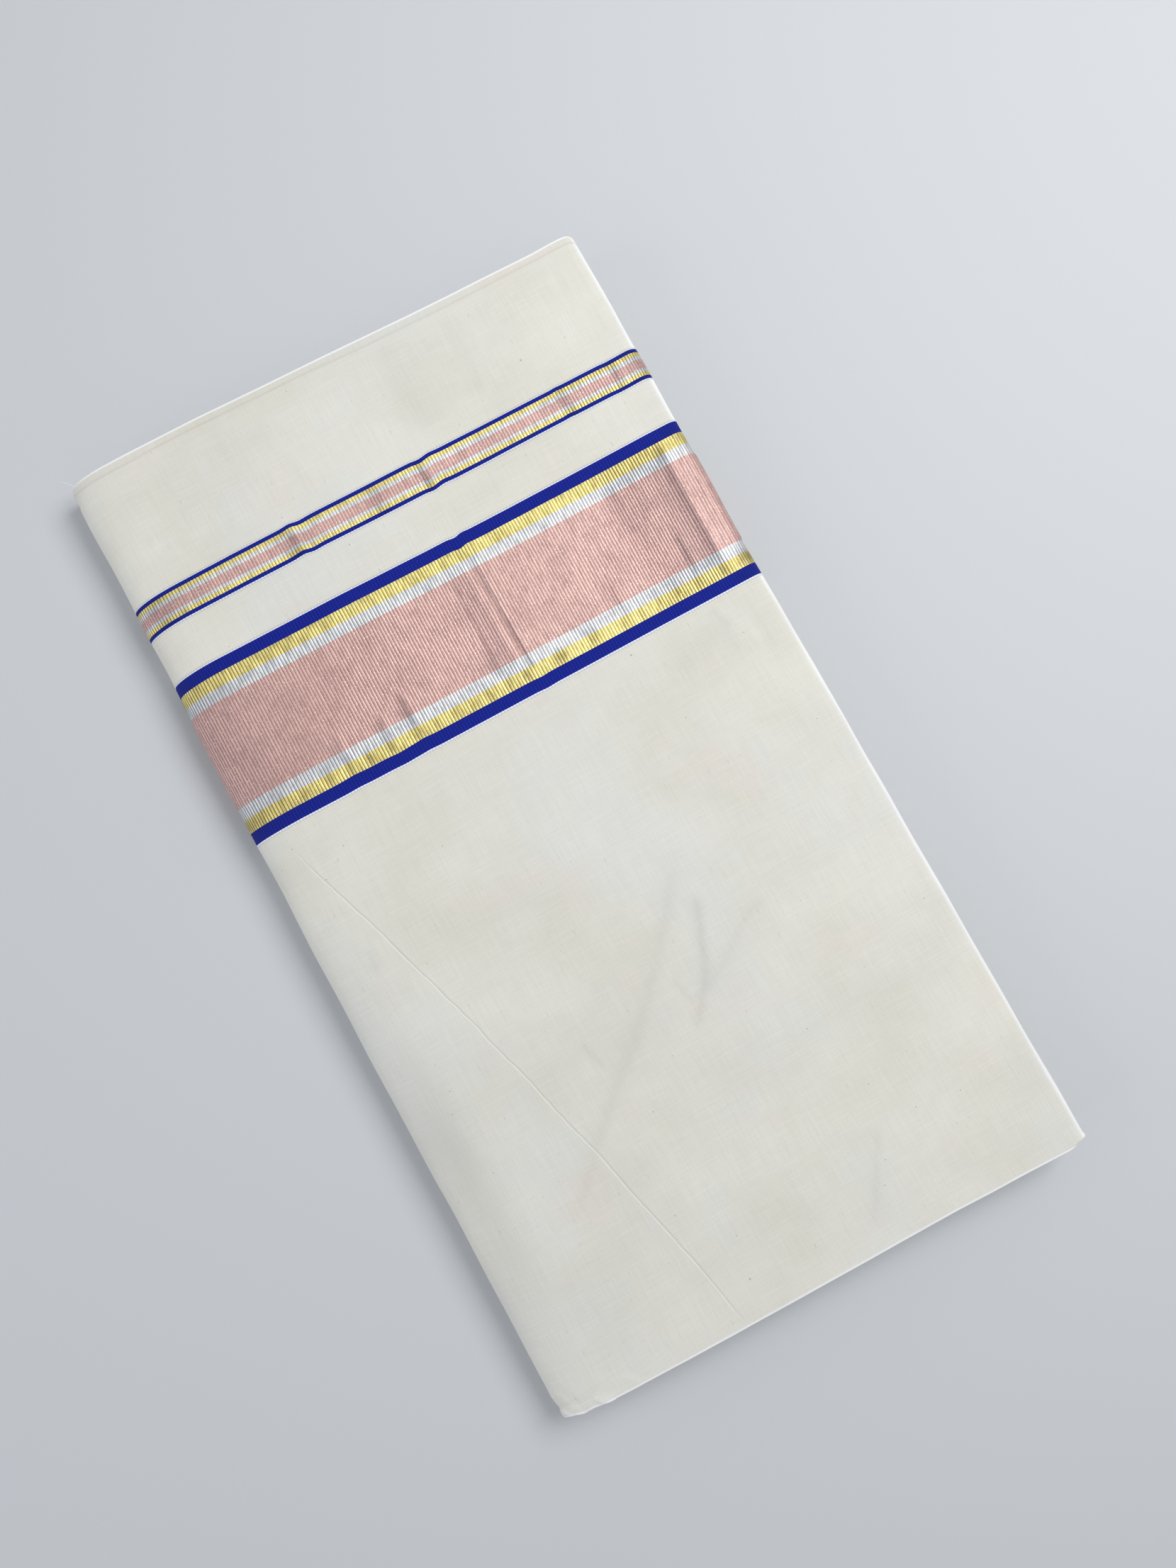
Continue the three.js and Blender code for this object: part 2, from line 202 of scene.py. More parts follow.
def run_points(run, u, left, right):
    """x, z and the outward normal of one run of the section, for u from 0 to 1.

    tuck: the flap's underside, going out to the right. roll: a half circle, up the right side.
    top: flat, from right to left. shoulder and heel: quarter ellipses, down the left side.
    under: flat, from left to right.
    """
    zero = np.zeros(np.broadcast(u, left).shape)
    if run == "tuck":
        return right - ROLL_R - TUCK * (1 - u) + zero, MID_Z + zero, zero, zero - 1
    if run == "roll":
        x, z, nx, nz = arc(right - ROLL_R, MID_Z + ROLL_R, ROLL_R, ROLL_R, 180 * u - 90)
        return x, z + zero, nx + zero, nz + zero
    if run == "top":
        start, stop = right - ROLL_R, left + SHOULDER_REACH
        return start + (stop - start) * u, THICKNESS + zero, zero, zero + 1
    if run == "shoulder":
        x, z, nx, nz = arc(left + SHOULDER_REACH, MID_Z, SHOULDER_REACH, THICKNESS - MID_Z, 90 + 90 * u)
        return x, z + zero, nx + zero, nz + zero
    if run == "heel":
        x, z, nx, nz = arc(left + HEEL_REACH, MID_Z, HEEL_REACH, MID_Z, 180 + 90 * u)
        return x, z + zero, nx + zero, nz + zero
    start, stop = left + HEEL_REACH, right - UNDER_EDGE
    return start + (stop - start) * u, zero, zero, zero - 1


def travel(run):
    """Fine steps of u along a run, and the length of the surface up to each, at mean width."""
    half = np.array((HEAD_WIDTH + FOOT_WIDTH) / 4)
    u = np.linspace(0, 1, 401)
    x, z, _, _ = run_points(run, u, -half, half)
    length = np.concatenate([[0], np.cumsum(np.hypot(np.diff(x), np.diff(z)))])
    return u, length


TRAVEL = {run: travel(run) for run in RUNS}
RUN_LENGTH = {run: TRAVEL[run][1][-1] for run in RUNS}
RIBS = {run: round(RUN_LENGTH[run] / RIB_PITCH) for run in RUNS}


CELLS = {run: 2 * RIBS[run] for run in RUNS}
CELLS["tuck"], CELLS["under"] = 2, 14


def columns_of(ratio):
    """Columns round the section, even along each run, with ratio steps in each of its cells.

    Each item holds the run, u, the distance round and the number of ribs passed.
    """
    columns = []
    before, ribs_before = 0.0, 0.0
    for run in RUNS:
        u_steps, length = TRAVEL[run]
        count = CELLS[run] * ratio
        share = np.arange(count + (run == RUNS[-1])) / count
        u = np.interp(share * RUN_LENGTH[run], length, u_steps)
        columns.append((run, u, before + share * RUN_LENGTH[run], ribs_before + share * RIBS[run]))
        before += RUN_LENGTH[run]
        ribs_before += RIBS[run]
    return columns


COARSE, FINE = 1, 3  # steps in each cell: half a rib, and a sixth of one
COLUMNS = {ratio: columns_of(ratio) for ratio in (COARSE, FINE)}


# ---------------------------------------------------------------- relief of the outer face
def along_path(x, y, path):
    """Signed distance to a line through points, and the share of its length at the nearest point."""
    points = np.array(path, float)
    steps = np.diff(points, axis=0)
    lengths = np.hypot(steps[:, 0], steps[:, 1])
    starts = np.concatenate([[0], np.cumsum(lengths)])
    best = np.full(np.shape(x), 1e9)
    signed, share = np.zeros(np.shape(x)), np.zeros(np.shape(x))
    for (px, py), (dx, dy), length, start in zip(points[:-1], steps, lengths, starts):
        t = np.clip(((x - px) * dx + (y - py) * dy) / length**2, 0, 1)
        off_x, off_y = x - px - t * dx, y - py - t * dy
        distance = np.hypot(off_x, off_y)
        nearer = distance < best
        side = np.sign(off_x * dy - off_y * dx)
        best = np.where(nearer, distance, best)
        signed = np.where(nearer, side * distance, signed)
        share = np.where(nearer, (start + t * length) / starts[-1], share)
    return signed, share


def crease(x, y, path, width, height, lean=0.0, fade=0.15):
    """A ridge with hollow flanks along a path: height / (1 + (d / width)^2), leaning to one side."""
    d, share = along_path(x, y, path)
    ends = smooth(0, fade, share) * smooth(0, fade, 1 - share) if fade else 1.0
    profile = 1 / (1 + (d / width) ** 2)
    slope = lean * (d / width) * np.exp(-((d / (2.2 * width)) ** 2))
    return height * ends * (profile + slope)


# The long slanting crease: x over the distance down from its start
SLANT_X, SLANT_Y = -134.2, 55.1
SLANT_SLOPE, SLANT_BEND = 0.345, -0.00023
SLANT_END = -266.0


def slant_x(y):
    """X of the long crease at y: start + slope d + bend d^2, where d is the distance below its start."""
    d = SLANT_Y - y
    return SLANT_X + SLANT_SLOPE * d + SLANT_BEND * d**2


# Creases of the plain cloth: points, half width, height (below 0 a trough), lean, and shade:
# painted shade along the crease, and below 0 a painted highlight
CREASES = [
    ([(slant_x(y), y) for y in np.linspace(SLANT_Y, SLANT_END, 12)], 2.0, 0.16, 0.8, 0.0),
    ([(40, -38), (0, -87), (-30, -117), (-50, -133), (-70, -152), (-104, -186)], 4.0, -0.46, 0.8, 0.42),
    ([(36, -63), (25, -90), (20, -103), (7, -120), (-1, -128)], 2.7, -0.50, 0.9, 0.62),
    ([(67, -82), (53, -88), (27, -105), (12, -114)], 3.0, -0.28, 0.6, 0.32),
    ([(3, -97), (8, -114)], 1.6, -0.20, 0.5, 0.30),
    ([(-53, -102), (-48, -121)], 1.6, -0.22, 0.5, 0.30),
    ([(60, -212), (46, -236), (31, -260)], 2.2, -0.26, 0.5, 0.30),
    ([(117, 60), (123, 47), (129, 32)], 3.4, 0.34, 0.8, -0.12),
    ([(113, 60), (118, 46)], 2.0, -0.20, 0.3, 0.25),
    ([(132, 60), (134, 24)], 2.0, -0.12, 0.5, 0.12),
    ([(-131, 48), (-127, 32)], 2.6, 0.35, 0.5, 0.0),
    ([(-124, -8), (-126, -24)], 2.2, -0.35, 0.5, 0.25),
    ([(-148, -250), (-144, -258), (-141, -263)], 1.6, 0.35, 0.6, 0.15),
    ([(-151, -260), (-146, -264), (-138, -265)], 1.0, 0.5, 0.2, -0.5),
    ([(-132, -259), (-129, -263), (-122, -267)], 1.1, 0.6, -0.5, -0.3),
    ([(-115, -256), (-106, -265)], 1.6, 0.25, 0.5, 0.0),
    ([(60, 10), (52, -40), (48, -90)], 5.0, 0.12, 0.5, 0.0),
    ([(-30, 30), (-22, -30), (-20, -110)], 6.0, 0.12, -0.5, 0.0),
    ([(100, -120), (92, -180), (95, -240)], 6.0, 0.14, 0.5, 0.0),
    ([(-100, 262), (-96, 240), (-99, 214)], 5.0, 0.14, 0.5, 0.0),
    ([(30, 264), (28, 240), (33, 208)], 9.0, -0.30, 0.4, 0.35),
    ([(64, 262), (66, 236), (63, 212)], 4.0, -0.12, 0.4, 0.20),
]
# Steps, ridges and grooves that lie along the ribs: x at the head side, x at the foot side,
# y from, y to, width, height
RIB_KINKS = [
    (133.0, 132.0, 146, 82, 3.6, 0.50),
    (126.5, 125.5, 146, 82, 3.6, -0.50),
    (118.5, 118.0, 106, 82, 2.0, 0.35),
    (114.5, 114.5, 106, 82, 2.0, -0.40),
    (105.0, 104.0, 146, 104, 2.4, 0.22),
    (100.0, 99.5, 146, 104, 2.4, -0.22),
    (17.0, 19.6, 142, 78, 1.5, 0.42),
    (13.8, 16.0, 142, 78, 1.5, -0.42),
    (4.2, 4.4, 138, 80, 1.6, 0.24),
    (1.2, 1.0, 138, 80, 1.6, -0.24),
    (-86.5, -86.0, 96, 80, 2.2, 0.35), (-90.5, -90.0, 96, 80, 2.2, -0.35),
    (-61.5, -61.0, 94, 78, 2.2, 0.35), (-65.5, -65.0, 94, 78, 2.2, -0.35),
    (-47.0, -46.5, 96, 76, 1.8, 0.40), (-50.5, -50.0, 96, 76, 1.8, -0.40),
    (70.0, 70.5, 102, 80, 1.8, 0.22), (66.5, 67.0, 102, 80, 1.8, -0.22),
    (-56.0, -55.0, 201, 180, 1.8, 0.36), (-59.5, -58.5, 201, 180, 1.8, -0.30),
    (20.0, 20.0, 201, 180, 2.0, 0.40), (16.0, 16.0, 201, 180, 2.0, -0.36),
    (99.5, 99.5, 201, 182, 1.6, 0.26), (96.0, 96.0, 201, 182, 1.6, -0.26),
    (132.0, 131.0, 201, 180, 2.0, 0.40), (128.0, 127.0, 201, 180, 2.0, -0.36),
    (62.0, 58.0, 150, 90, 6.0, 0.20),
    (-95.0, -92.0, 150, 70, 7.0, 0.22),
    (-40.0, -36.0, 150, 70, 8.0, 0.18),
]
# Where the bands lie in shade: x at the head side, x at the foot side, y from, y to, reach to the
# left, reach to the right, depth
SHADED_STRIPS = [
    (130.6, 131.0, 151, 79, 2.6, 0.9, 0.62),
    (126.0, 127.0, 151, 79, 9.0, 4.0, 0.34),
    (116.8, 117.4, 106, 80, 2.4, 1.2, 0.60),
    (99.4, 98.8, 148, 114, 5.0, 1.6, 0.30),
    (108.0, 108.0, 151, 116, 4.0, 4.0, 0.25),
    (9.8, 10.6, 142, 80, 9.0, 1.6, 0.34),
    (17.9, 18.8, 145, 77, 0.9, 0.9, 0.55),
    (-50.0, -49.5, 99, 79, 2.8, 2.0, 0.60),
    (-65.0, -64.5, 94, 78, 3.0, 2.0, 0.42),
    (-91.0, -90.0, 93, 80, 3.0, 3.0, 0.28),
    (0.5, 1.0, 97, 80, 2.4, 2.0, 0.40),
    (72.5, 73.5, 101, 80, 2.6, 1.4, 0.42),
    (-59.0, -58.0, 202, 180, 4.0, 2.2, 0.55),
    (-11.0, -10.0, 202, 180, 5.0, 3.5, 0.36),
    (16.4, 16.6, 202, 180, 2.0, 1.6, 0.60),
    (101.0, 101.0, 202, 180, 3.0, 1.8, 0.50),
    (131.5, 131.5, 202, 180, 3.0, 2.0, 0.36),
    (142.0, 142.0, 202, 180, 4.0, 4.0, 0.30),
    (-136.0, -136.0, 202, 180, 5.0, 6.0, 0.30),
]
# The ribs stand out more at the left and beside the folds, both in height and in the painted shade
# of their valleys, which also darkens the left: x, and how strongly
RIB_STRENGTH = [
    (-145, 1.3), (-100, 1.1), (-30, 0.85), (10, 0.9), (19, 0.9), (24, 0.66), (60, 0.58), (90, 0.66),
    (98, 1.2), (128, 1.35), (131.5, 1.2), (134, 0.4), (147, 0.4),
]
# In the narrow band they stand out a little less, but evenly
NARROW_STRENGTH, LEAST_STRENGTH = 0.75, 0.85
# The metal threads shine less towards the left, away from the light: x, and their shade
BAND_SHADE = [
    (-148, 0.34), (-132, 0.20), (-97, 0.05), (-27, 0.0), (20, 0.0), (47, 0.03), (131, 0.03), (136, 0.22),
    (147, 0.28),
]
# The gold stripes ripple: height, shade, and the x of each trough
RIPPLE, RIPPLE_SHADE = 0.25, 0.8
RIPPLE_TROUGHS = [
    -139, -127, -115, -100, -88, -77, -65, -50, -38, -28, -18, -9, 3, 13, 33, 53, 73, 81, 92, 103,
    115, 130, 141,
]
# They lie along these y, with a share of the height each, and reach this far to both sides
RIPPLE_ROWS = [(75, 1.0), (146, 0.5)]
RIPPLE_REACH = 4.5
# Patches of painted shade on the plain cloth, the largest at the left side: x, y, reach across, reach along,
# shade
SHADE_PATCHES = [
    (-134, -128, 13, 62, 0.95), (-60, -98, 46, 34, 0.16), (95, -205, 26, 38, 0.14), (95, 40, 75, 24, 0.28),
]
# Slow waves of the two long sides: height, reach, twist round the section, and phase
SIDE_WAVES = [(0.22, 23.0, 1.4, 0.0), (0.14, 9.7, 2.2, 1.0)]
# Soft swellings of the whole top: height, wave across, wave along, phase across, phase along
SWELLS = [
    (0.22, 170.0, 240.0, 0.6, 1.1),
    (0.16, 95.0, 310.0, 2.1, 0.4),
    (0.10, 62.0, 130.0, 4.0, 2.6),
    (0.07, 37.0, 84.0, 1.2, 5.0),
]


def swell(x, y):
    """A sum of products of two sines, one across and one along the packet."""
    total = 0.0
    for height, across, along, phase_x, phase_y in SWELLS:
        total = total + height * np.sin(2 * np.pi * x / across + phase_x) * np.sin(
            2 * np.pi * y / along + phase_y)
    return total


DEEPEST = 0.55  # a trough stays above the layers under it


def top_relief(x, y):
    """Height of the creases, kinks and swellings of the top face: a sum, whose troughs level out
    as DEEPEST tanh(sum / DEEPEST)."""
    relief = swell(x, y)
    for path, width, height, lean, _ in CREASES:
        relief = relief + crease(x, y, path, width, height, lean)
    for head_x, foot_x, start, stop, width, height in RIB_KINKS:
        across = x - head_x - (foot_x - head_x) * (start - y) / (start - stop)
        fade = smooth(stop - 3, stop + 4, y) * (1 - smooth(start - 4, start + 3, y))
        relief = relief + height * fade / (1 + (across / width) ** 2)
    relief = relief + RIPPLE * ripple(x, y)
    return np.where(relief < 0, DEEPEST * np.tanh(relief / DEEPEST), relief)


def ripple(x, y):
    """Uneven waves across the gold stripes: -1 at each trough and 1 halfway between two."""
    troughs = np.interp(x, RIPPLE_TROUGHS, np.arange(len(RIPPLE_TROUGHS)))
    edges = sum(share * np.exp(-((y - row) / RIPPLE_REACH) ** 2) for row, share in RIPPLE_ROWS)
    return -np.cos(2 * np.pi * troughs) * edges * (0.75 + 0.25 * np.sin(x / 17.0))


def cream_shade(x, y):
    """Painted shade of the plain cloth: along its creases, where a shade below 0 is a painted highlight, and
    in soft patches, darkest at the left side.
    """
    total = 0.0 * (x + y)
    for path, width, _, _, shade in CREASES:
        if shade:
            total = total + crease(x, y, path, 0.9 * width, shade)
    for at_x, at_y, across, along, shade in SHADE_PATCHES:
        total = total + shade * np.exp(-((x - at_x) / across) ** 2 - ((y - at_y) / along) ** 2)
    return total


def band_shade(x, y):
    """Shade of the bands: its slow change across, the strips, and the low sides of the ripples."""
    total = interpolate(BAND_SHADE, x) + RIPPLE_SHADE * np.maximum(-ripple(x, y), 0) ** 1.4
    for head_x, foot_x, start, stop, to_left, to_right, depth in SHADED_STRIPS:
        across = x - head_x - (foot_x - head_x) * (start - y) / (start - stop)
        reach = np.where(across < 0, to_left, to_right)
        fade = smooth(stop - 2, stop + 3, y) * (1 - smooth(start - 9, start + 2, y))
        total = total + depth * fade * np.exp(-((across / reach) ** 2))
    return total


def side_relief(y, turn):
    """Slow waves of the two long sides: sines of y, which twist with the way round the section."""
    return sum(
        height * np.sin(y / reach + turn * twist + phase) for height, reach, twist, phase in SIDE_WAVES)


def rib_height(y):
    """Height of the ribs at y: full in each stripe, dying away in the plain cloth beside a band."""
    height = np.zeros(np.shape(y))
    for top, stripes in ((NARROW_HEAD, NARROW_STRIPES), (WIDE_HEAD, WIDE_STRIPES)):
        edge = top
        for finish, wide in stripes:
            height = np.where((y <= edge) & (y > edge - wide), RIB_HEIGHT[finish], height)
            edge -= wide
        beside = np.maximum(y - top, edge - y)
        fading = np.exp(-beside / PUCKER_FADE) * (1 - smooth(0.7 * PUCKER_ZONE, PUCKER_ZONE, beside))
        height = np.where(beside > 0, np.maximum(height, RIB_HEIGHT["cream"] * fading), height)
    return height


def rib_relief(ribs, y, x):
    """Ribs as the absolute sine of the ribs passed, softened by slow patches."""
    patch = 0.78 + 0.22 * np.sin(x / 21.0 + 1.3 * np.sin(y / 34.0)) * np.sin(y / 27.0 + 0.8)
    wave = np.abs(np.sin(np.pi * ribs)) ** 0.85
    return rib_height(y) * patch * wave * (0.55 + 0.45 * interpolate(RIB_STRENGTH, x))


# ---------------------------------------------------------------- meshes
def new_object(name, vertices, faces, materials):
    """A mesh object from points in millimetres and lists of corner numbers."""
    mesh = bpy.data.meshes.new(name)
    mesh.from_pydata((np.asarray(vertices) * MM).tolist(), [], faces)
    for material in materials:
        mesh.materials.append(material)
    mesh.update()
    piece = bpy.data.objects.new(name, mesh)
    bpy.context.scene.collection.objects.link(piece)
    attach(piece, "root")
    return piece


def grid_faces(rows, cols, first):
    """Quads of a grid whose points are numbered row by row from first."""
    r, c = np.meshgrid(np.arange(rows - 1), np.arange(cols - 1), indexing="ij")
    a = first + (r * cols + c).ravel()
    return np.stack([a, a + 1, a + cols + 1, a + cols], axis=1).tolist()


def tube_faces(rows, cols):
    """Quads between closed rings of points, and a face over the first and over the last ring."""
    c = np.arange(cols)
    r = np.arange(rows - 1)[:, None] * cols
    a, b = (r + c).ravel(), (r + (c + 1) % cols).ravel()
    faces = np.stack([a, b, b + cols, a + cols], axis=1).tolist()
    return faces + [list(range(cols))[::-1], [(rows - 1) * cols + k for k in range(cols)]]


def set_map(mesh, name, values):
    """Fills a map of the mesh from the pair of values at each point."""
    corner_point = np.zeros(len(mesh.loops), int)
    mesh.loops.foreach_get("vertex_index", corner_point)
    uv = mesh.uv_layers.new(name=name)
    uv.data.foreach_set("uv", values[corner_point].astype(np.float32).ravel())


def joining_faces(first_a, ratio_a, first_b, ratio_b):
    """Faces between two lines of points: for each cell, its steps along one and back along the other."""
    cell = np.arange(sum(CELLS.values()))[:, None]
    if ratio_a == ratio_b:
        cell = np.arange(sum(CELLS.values()) * ratio_a)[:, None]
        ratio_a = ratio_b = 1
    there = first_a + cell * ratio_a + np.arange(ratio_a + 1)
    back = first_b + (cell + 1) * ratio_b - np.arange(ratio_b + 1)
    return np.concatenate([there, back], axis=1).tolist()


def sewn_shell(name, blocks, materials):
    """A closed shell of blocks of rows: down the outer face, back up the inner face, and joined
    all the way round. Each block is its grid of points, its two maps, the shade and the strength
    of the ribs at each point, its ratio, the finish of each row of cells, and whether it is smooth
    at its join to the next block."""
    firsts, count = [], 0
    for block in blocks:
        firsts.append(count)
        count += block["points"].shape[0] * block["points"].shape[1]
    faces, slots, smooth_faces = [], [], []
    for k, block in enumerate(blocks):
        rows, cols = block["points"].shape[:2]
        quads = grid_faces(rows, cols, firsts[k])
        faces += quads
        slots += np.repeat(block["finishes"][:rows - 1], cols - 1).tolist()
        smooth_faces += [True] * len(quads)
        after = blocks[(k + 1) % len(blocks)]
        last_line = firsts[k] + (rows - 1) * cols
        join = joining_faces(last_line, block["ratio"], firsts[(k + 1) % len(blocks)], after["ratio"])
        faces += join
        slots += [block["finishes"][-1]] * len(join)
        smooth_faces += [block["smooth_join"]] * len(join)
    ends = [[], []]
    for first, block in zip(firsts, blocks):
        rows, cols = block["points"].shape[:2]
        ends[0] += (first + np.arange(rows) * cols).tolist()
        ends[1] += (first + np.arange(rows) * cols + cols - 1).tolist()
    faces += [ends[0], ends[1][::-1]]
    slots += [blocks[0]["finishes"][0]] * 2
    smooth_faces += [False] * 2

    def gathered(key):
        return np.concatenate([block[key].reshape(-1, block[key].shape[-1]) for block in blocks])

    piece = new_object(name, gathered("points"), faces, materials)
    mesh = piece.data
    mesh.polygons.foreach_set("material_index", slots)
    mesh.polygons.foreach_set("use_smooth", smooth_faces)
    for layer in ("cloth", "ribs"):
        set_map(mesh, layer, gathered(layer))
    for layer in ("shade", "strength"):
        tone = mesh.attributes.new(layer, "FLOAT", "POINT")
        tone.data.foreach_set("value", gathered(layer).astype(np.float32).ravel())
    mesh.update()
    return piece


HEM = 4.8  # the cut end is turned in this deep under the outer layer
HEM_HEIGHT = 0.22
HEM_SHADE = 0.12
HEM_SEAM_SHADE = 0.75
# EDGE_LIGHT is a painted highlight along the line where the cloth turns over an end
EDGE_LIGHT = 1.5  # the cloth is paler where it turns over an end
EDGE_LINE = (0.7, 1.5)  # and that line ends between these distances from the end
# SIDE_LIGHT is a painted highlight along the roll at the right side
SIDE_LIGHT = 1.0  # it is paler along the roll at the right side too
SIDE_LINE = 1.5
FAR = 100.0  # stands for a row that doesn't follow an end
HEM_WAVES = [(0.25, 31.0), (0.15, 11.0)]  # the hem's edge: height and reach of each wave
HEM_STEP = 0.5  # half the width of the step at its edge
SEAM_HALF = 0.45
ROSE_BULGE = 0.55
ROSE = 4  # its place among the wide band's stripes
BLOCK_PARTS = ("points", "cloth", "ribs", "shade", "strength")


class Rows:
    """Rows of points along the packet. At an end a row lies a distance in from the wavy end line,
    and between there and a band it blends evenly into the band's straight edge."""

    def __init__(self, end, insets, drops, blend, straight_y):
        self.end = end
        self.insets = np.array(insets, float)[:, None]
        self.drops = np.array(drops, float)[:, None]
        self.blend = np.array(blend, float)[:, None]
        self.straight_y = np.array(straight_y, float)[:, None]

    def y_at(self, x):
        """(1 - blend) x the end line less the inset, plus blend x the straight line."""
        if self.end == "head":
            line = head_y(x) - self.insets
        elif self.end == "foot":
            line = foot_y(x) + self.insets
        else:
            line = 0.0 * x
        return (1 - self.blend) * line + self.blend * (self.straight_y + sway(x, self.straight_y))

    def from_end(self):
        """How far in from its end each row lies, or FAR where it doesn't follow the end line."""
        return np.where(self.blend > 0, FAR, self.insets)

    def limits(self):
        """Left and right x of each row, with the corners' holds."""
        near = self.y_at(np.zeros((len(self.insets), 1)))
        left, right = left_x(near), right_x(near)
        if self.end in ("head", "foot"):
            near_end = self.blend == 0
            left = left + near_end * interpolate(CORNER_HOLDS[self.end + "_left"], self.insets)
            right = right - near_end * interpolate(CORNER_HOLDS[self.end + "_right"], self.insets)
        return left, right

    def only(self, picked):
        """The same rows, but only some of them, or in another order."""
        return Rows(
            self.end, self.insets[picked].ravel(), self.drops[picked].ravel(),
            self.blend[picked].ravel(), self.straight_y[picked].ravel())


def outer_block(rows, ratio, finishes, smooth_join=True):
    """The outer face: the section at each row with its relief, lower where the cloth turns over."""
    left, right = rows.limits()
    block = {part: [] for part in BLOCK_PARTS}
    in_band = np.array([finish != "cream" for finish in finishes])[:len(rows.insets), None]
    for run, u, distance, ribs in COLUMNS[ratio]:
        x, z, nx, nz = run_points(run, u[None, :], left, right)
        y = rows.y_at(x)
        up = np.clip(nz, 0, 1)
        shift = top_relief(x, y) * up
        # The mesh's shade: painted shade on the bands, and on the plain cloth where it faces up
        shade = np.where(in_band, band_shade(x, y), cream_shade(x, y) * smooth(0.0, 0.3, up))
        if run in ("roll", "shoulder", "heel"):
            aside = np.clip(np.abs(nx), 0, 1) * smooth(0.5, 5, z)
            shift = shift + (side_relief(y, np.arctan2(nz, nx)) + rose_bulge(y)) * aside
        if run not in ("tuck", "under"):
            shift = shift + rib_relief(ribs[None, :], y, x) * smooth(0.3, 2.0, z)
        if run != "tuck":
            shift = shift - rows.drops
        if rows.end == "head" and run in ("roll", "top", "shoulder"):
            strip, seam = hem_shapes(rows.from_end(), x)
            shift = shift + HEM_HEIGHT * strip
            shade = shade + HEM_SHADE * strip + HEM_SEAM_SHADE * seam
        # Painted highlight along the line where the cloth turns over an end
        if rows.end and run in ("roll", "top", "shoulder"):
            shade = shade - EDGE_LIGHT * (1 - smooth(EDGE_LINE[0], EDGE_LINE[1], rows.from_end()))
        # Painted highlight along the roll at the right side, on the plain cloth only
        if run in ("roll", "top"):
            beside = np.exp(-((right - x - SIDE_LINE) / SIDE_LINE) ** 2) * smooth(0.0, 0.2, up)
            shade = shade - SIDE_LIGHT * beside * ~in_band
        block["points"].append(np.stack([x + nx * shift, y, z + nz * shift], axis=2))
        add_maps(block, distance, ribs, y, shade, x)
    return finished_block(block, ratio, finishes, smooth_join)


def inner_block(rows):
    """The plain inner face, from its foot end to its head end."""
    left, right = rows.limits()
    block = {part: [] for part in BLOCK_PARTS}
    for run, u, distance, ribs in COLUMNS[COARSE]:
        x, z, nx, nz = run_points(run, u[None, :], left, right)
        y = rows.y_at(x)
        block["points"].append(np.stack([x - nx * CLOTH, y, z - nz * CLOTH], axis=2))
        add_maps(block, distance, ribs, y, np.zeros(x.shape), x)
    return finished_block(block, COARSE, ["cream"] * len(rows.insets), False)


def add_maps(block, distance, ribs, y, shade, x):
    """Adds one run's maps: metres round and along, ribs passed, shade, and strength of the ribs."""
    block["cloth"].append(np.stack([np.broadcast_to(distance * MM, y.shape), y * MM], axis=2))
    block["ribs"].append(np.stack([np.broadcast_to(ribs, y.shape), y * MM], axis=2))
    block["shade"].append(shade[:, :, None])
    strength = interpolate(RIB_STRENGTH, x) + 0.0 * y
    narrow = (y < NARROW_HEAD + 1) & (y > NARROW_FOOT - 1)
    strength = np.where(narrow, NARROW_STRENGTH * np.maximum(strength, LEAST_STRENGTH), strength)
    block["strength"].append(strength[:, :, None])


def finished_block(block, ratio, finishes, smooth_join):
    """The runs of a block side by side, with what sewn_shell needs."""
    block = {key: np.concatenate(parts, axis=1) for key, parts in block.items()}
    block["ratio"] = ratio
    block["finishes"] = [FINISH_ORDER.index(finish) for finish in finishes]
    block["smooth_join"] = smooth_join
    return block


def hem_shapes(insets, x):
    """1 on the hem's strip and 0 beyond it, and a thin line along its inner edge, which waves."""
    edge = HEM
    for height, reach in HEM_WAVES:
        edge = edge + height * np.sin(x / reach)
    strip = 1 - smooth(edge - HEM_STEP, edge + HEM_STEP, insets)
    return strip, np.exp(-((insets - edge) / SEAM_HALF) ** 2)


def rose_bulge(y):
    """The stiff rose stretch stands a little proud at the two long sides."""
    top = WIDE_HEAD - sum(wide for _, wide in WIDE_STRIPES[:ROSE])
    low = top - WIDE_STRIPES[ROSE][1]
    return ROSE_BULGE * smooth(low - 0.4, low + 1.2, y) * (1 - smooth(top - 1.2, top + 0.4, y))


# Rows where the outer layer turns over an end, as how far in it lies and how far it has sunk
TURN_ANGLES = np.radians([90, 68, 45, 24, 0])
TURN_INSETS = FOLD_ROUND * (1 - np.sin(TURN_ANGLES))
TURN_DROPS = FOLD_ROUND * (1 - np.cos(TURN_ANGLES))
END_ZONE = 20.0


def end_rows(end, straight_y, step, near_step):
    """Rows from an end to a straight line: the turn, close rows by the corners, then even ones."""
    near = np.arange(FOLD_ROUND + near_step, END_ZONE, near_step)
    reach = abs((HEAD_Y if end == "head" else FOOT_Y) - straight_y) - END_ZONE
    blend = np.linspace(0, 1, max(2, round(reach / step)) + 1)
    insets = np.concatenate([TURN_INSETS, near, np.full(len(blend), END_ZONE)])
    drops = np.concatenate([TURN_DROPS, np.zeros(len(near) + len(blend))])
    shares = np.concatenate([np.zeros(len(TURN_INSETS) + len(near)), blend])
    rows = Rows(end, insets, drops, shares, np.full(len(insets), straight_y))
    return rows if end == "head" else rows.only(np.arange(len(insets))[::-1])


INNER_INSETS = [0.85, 3.0, 7.0, 12.0, END_ZONE]


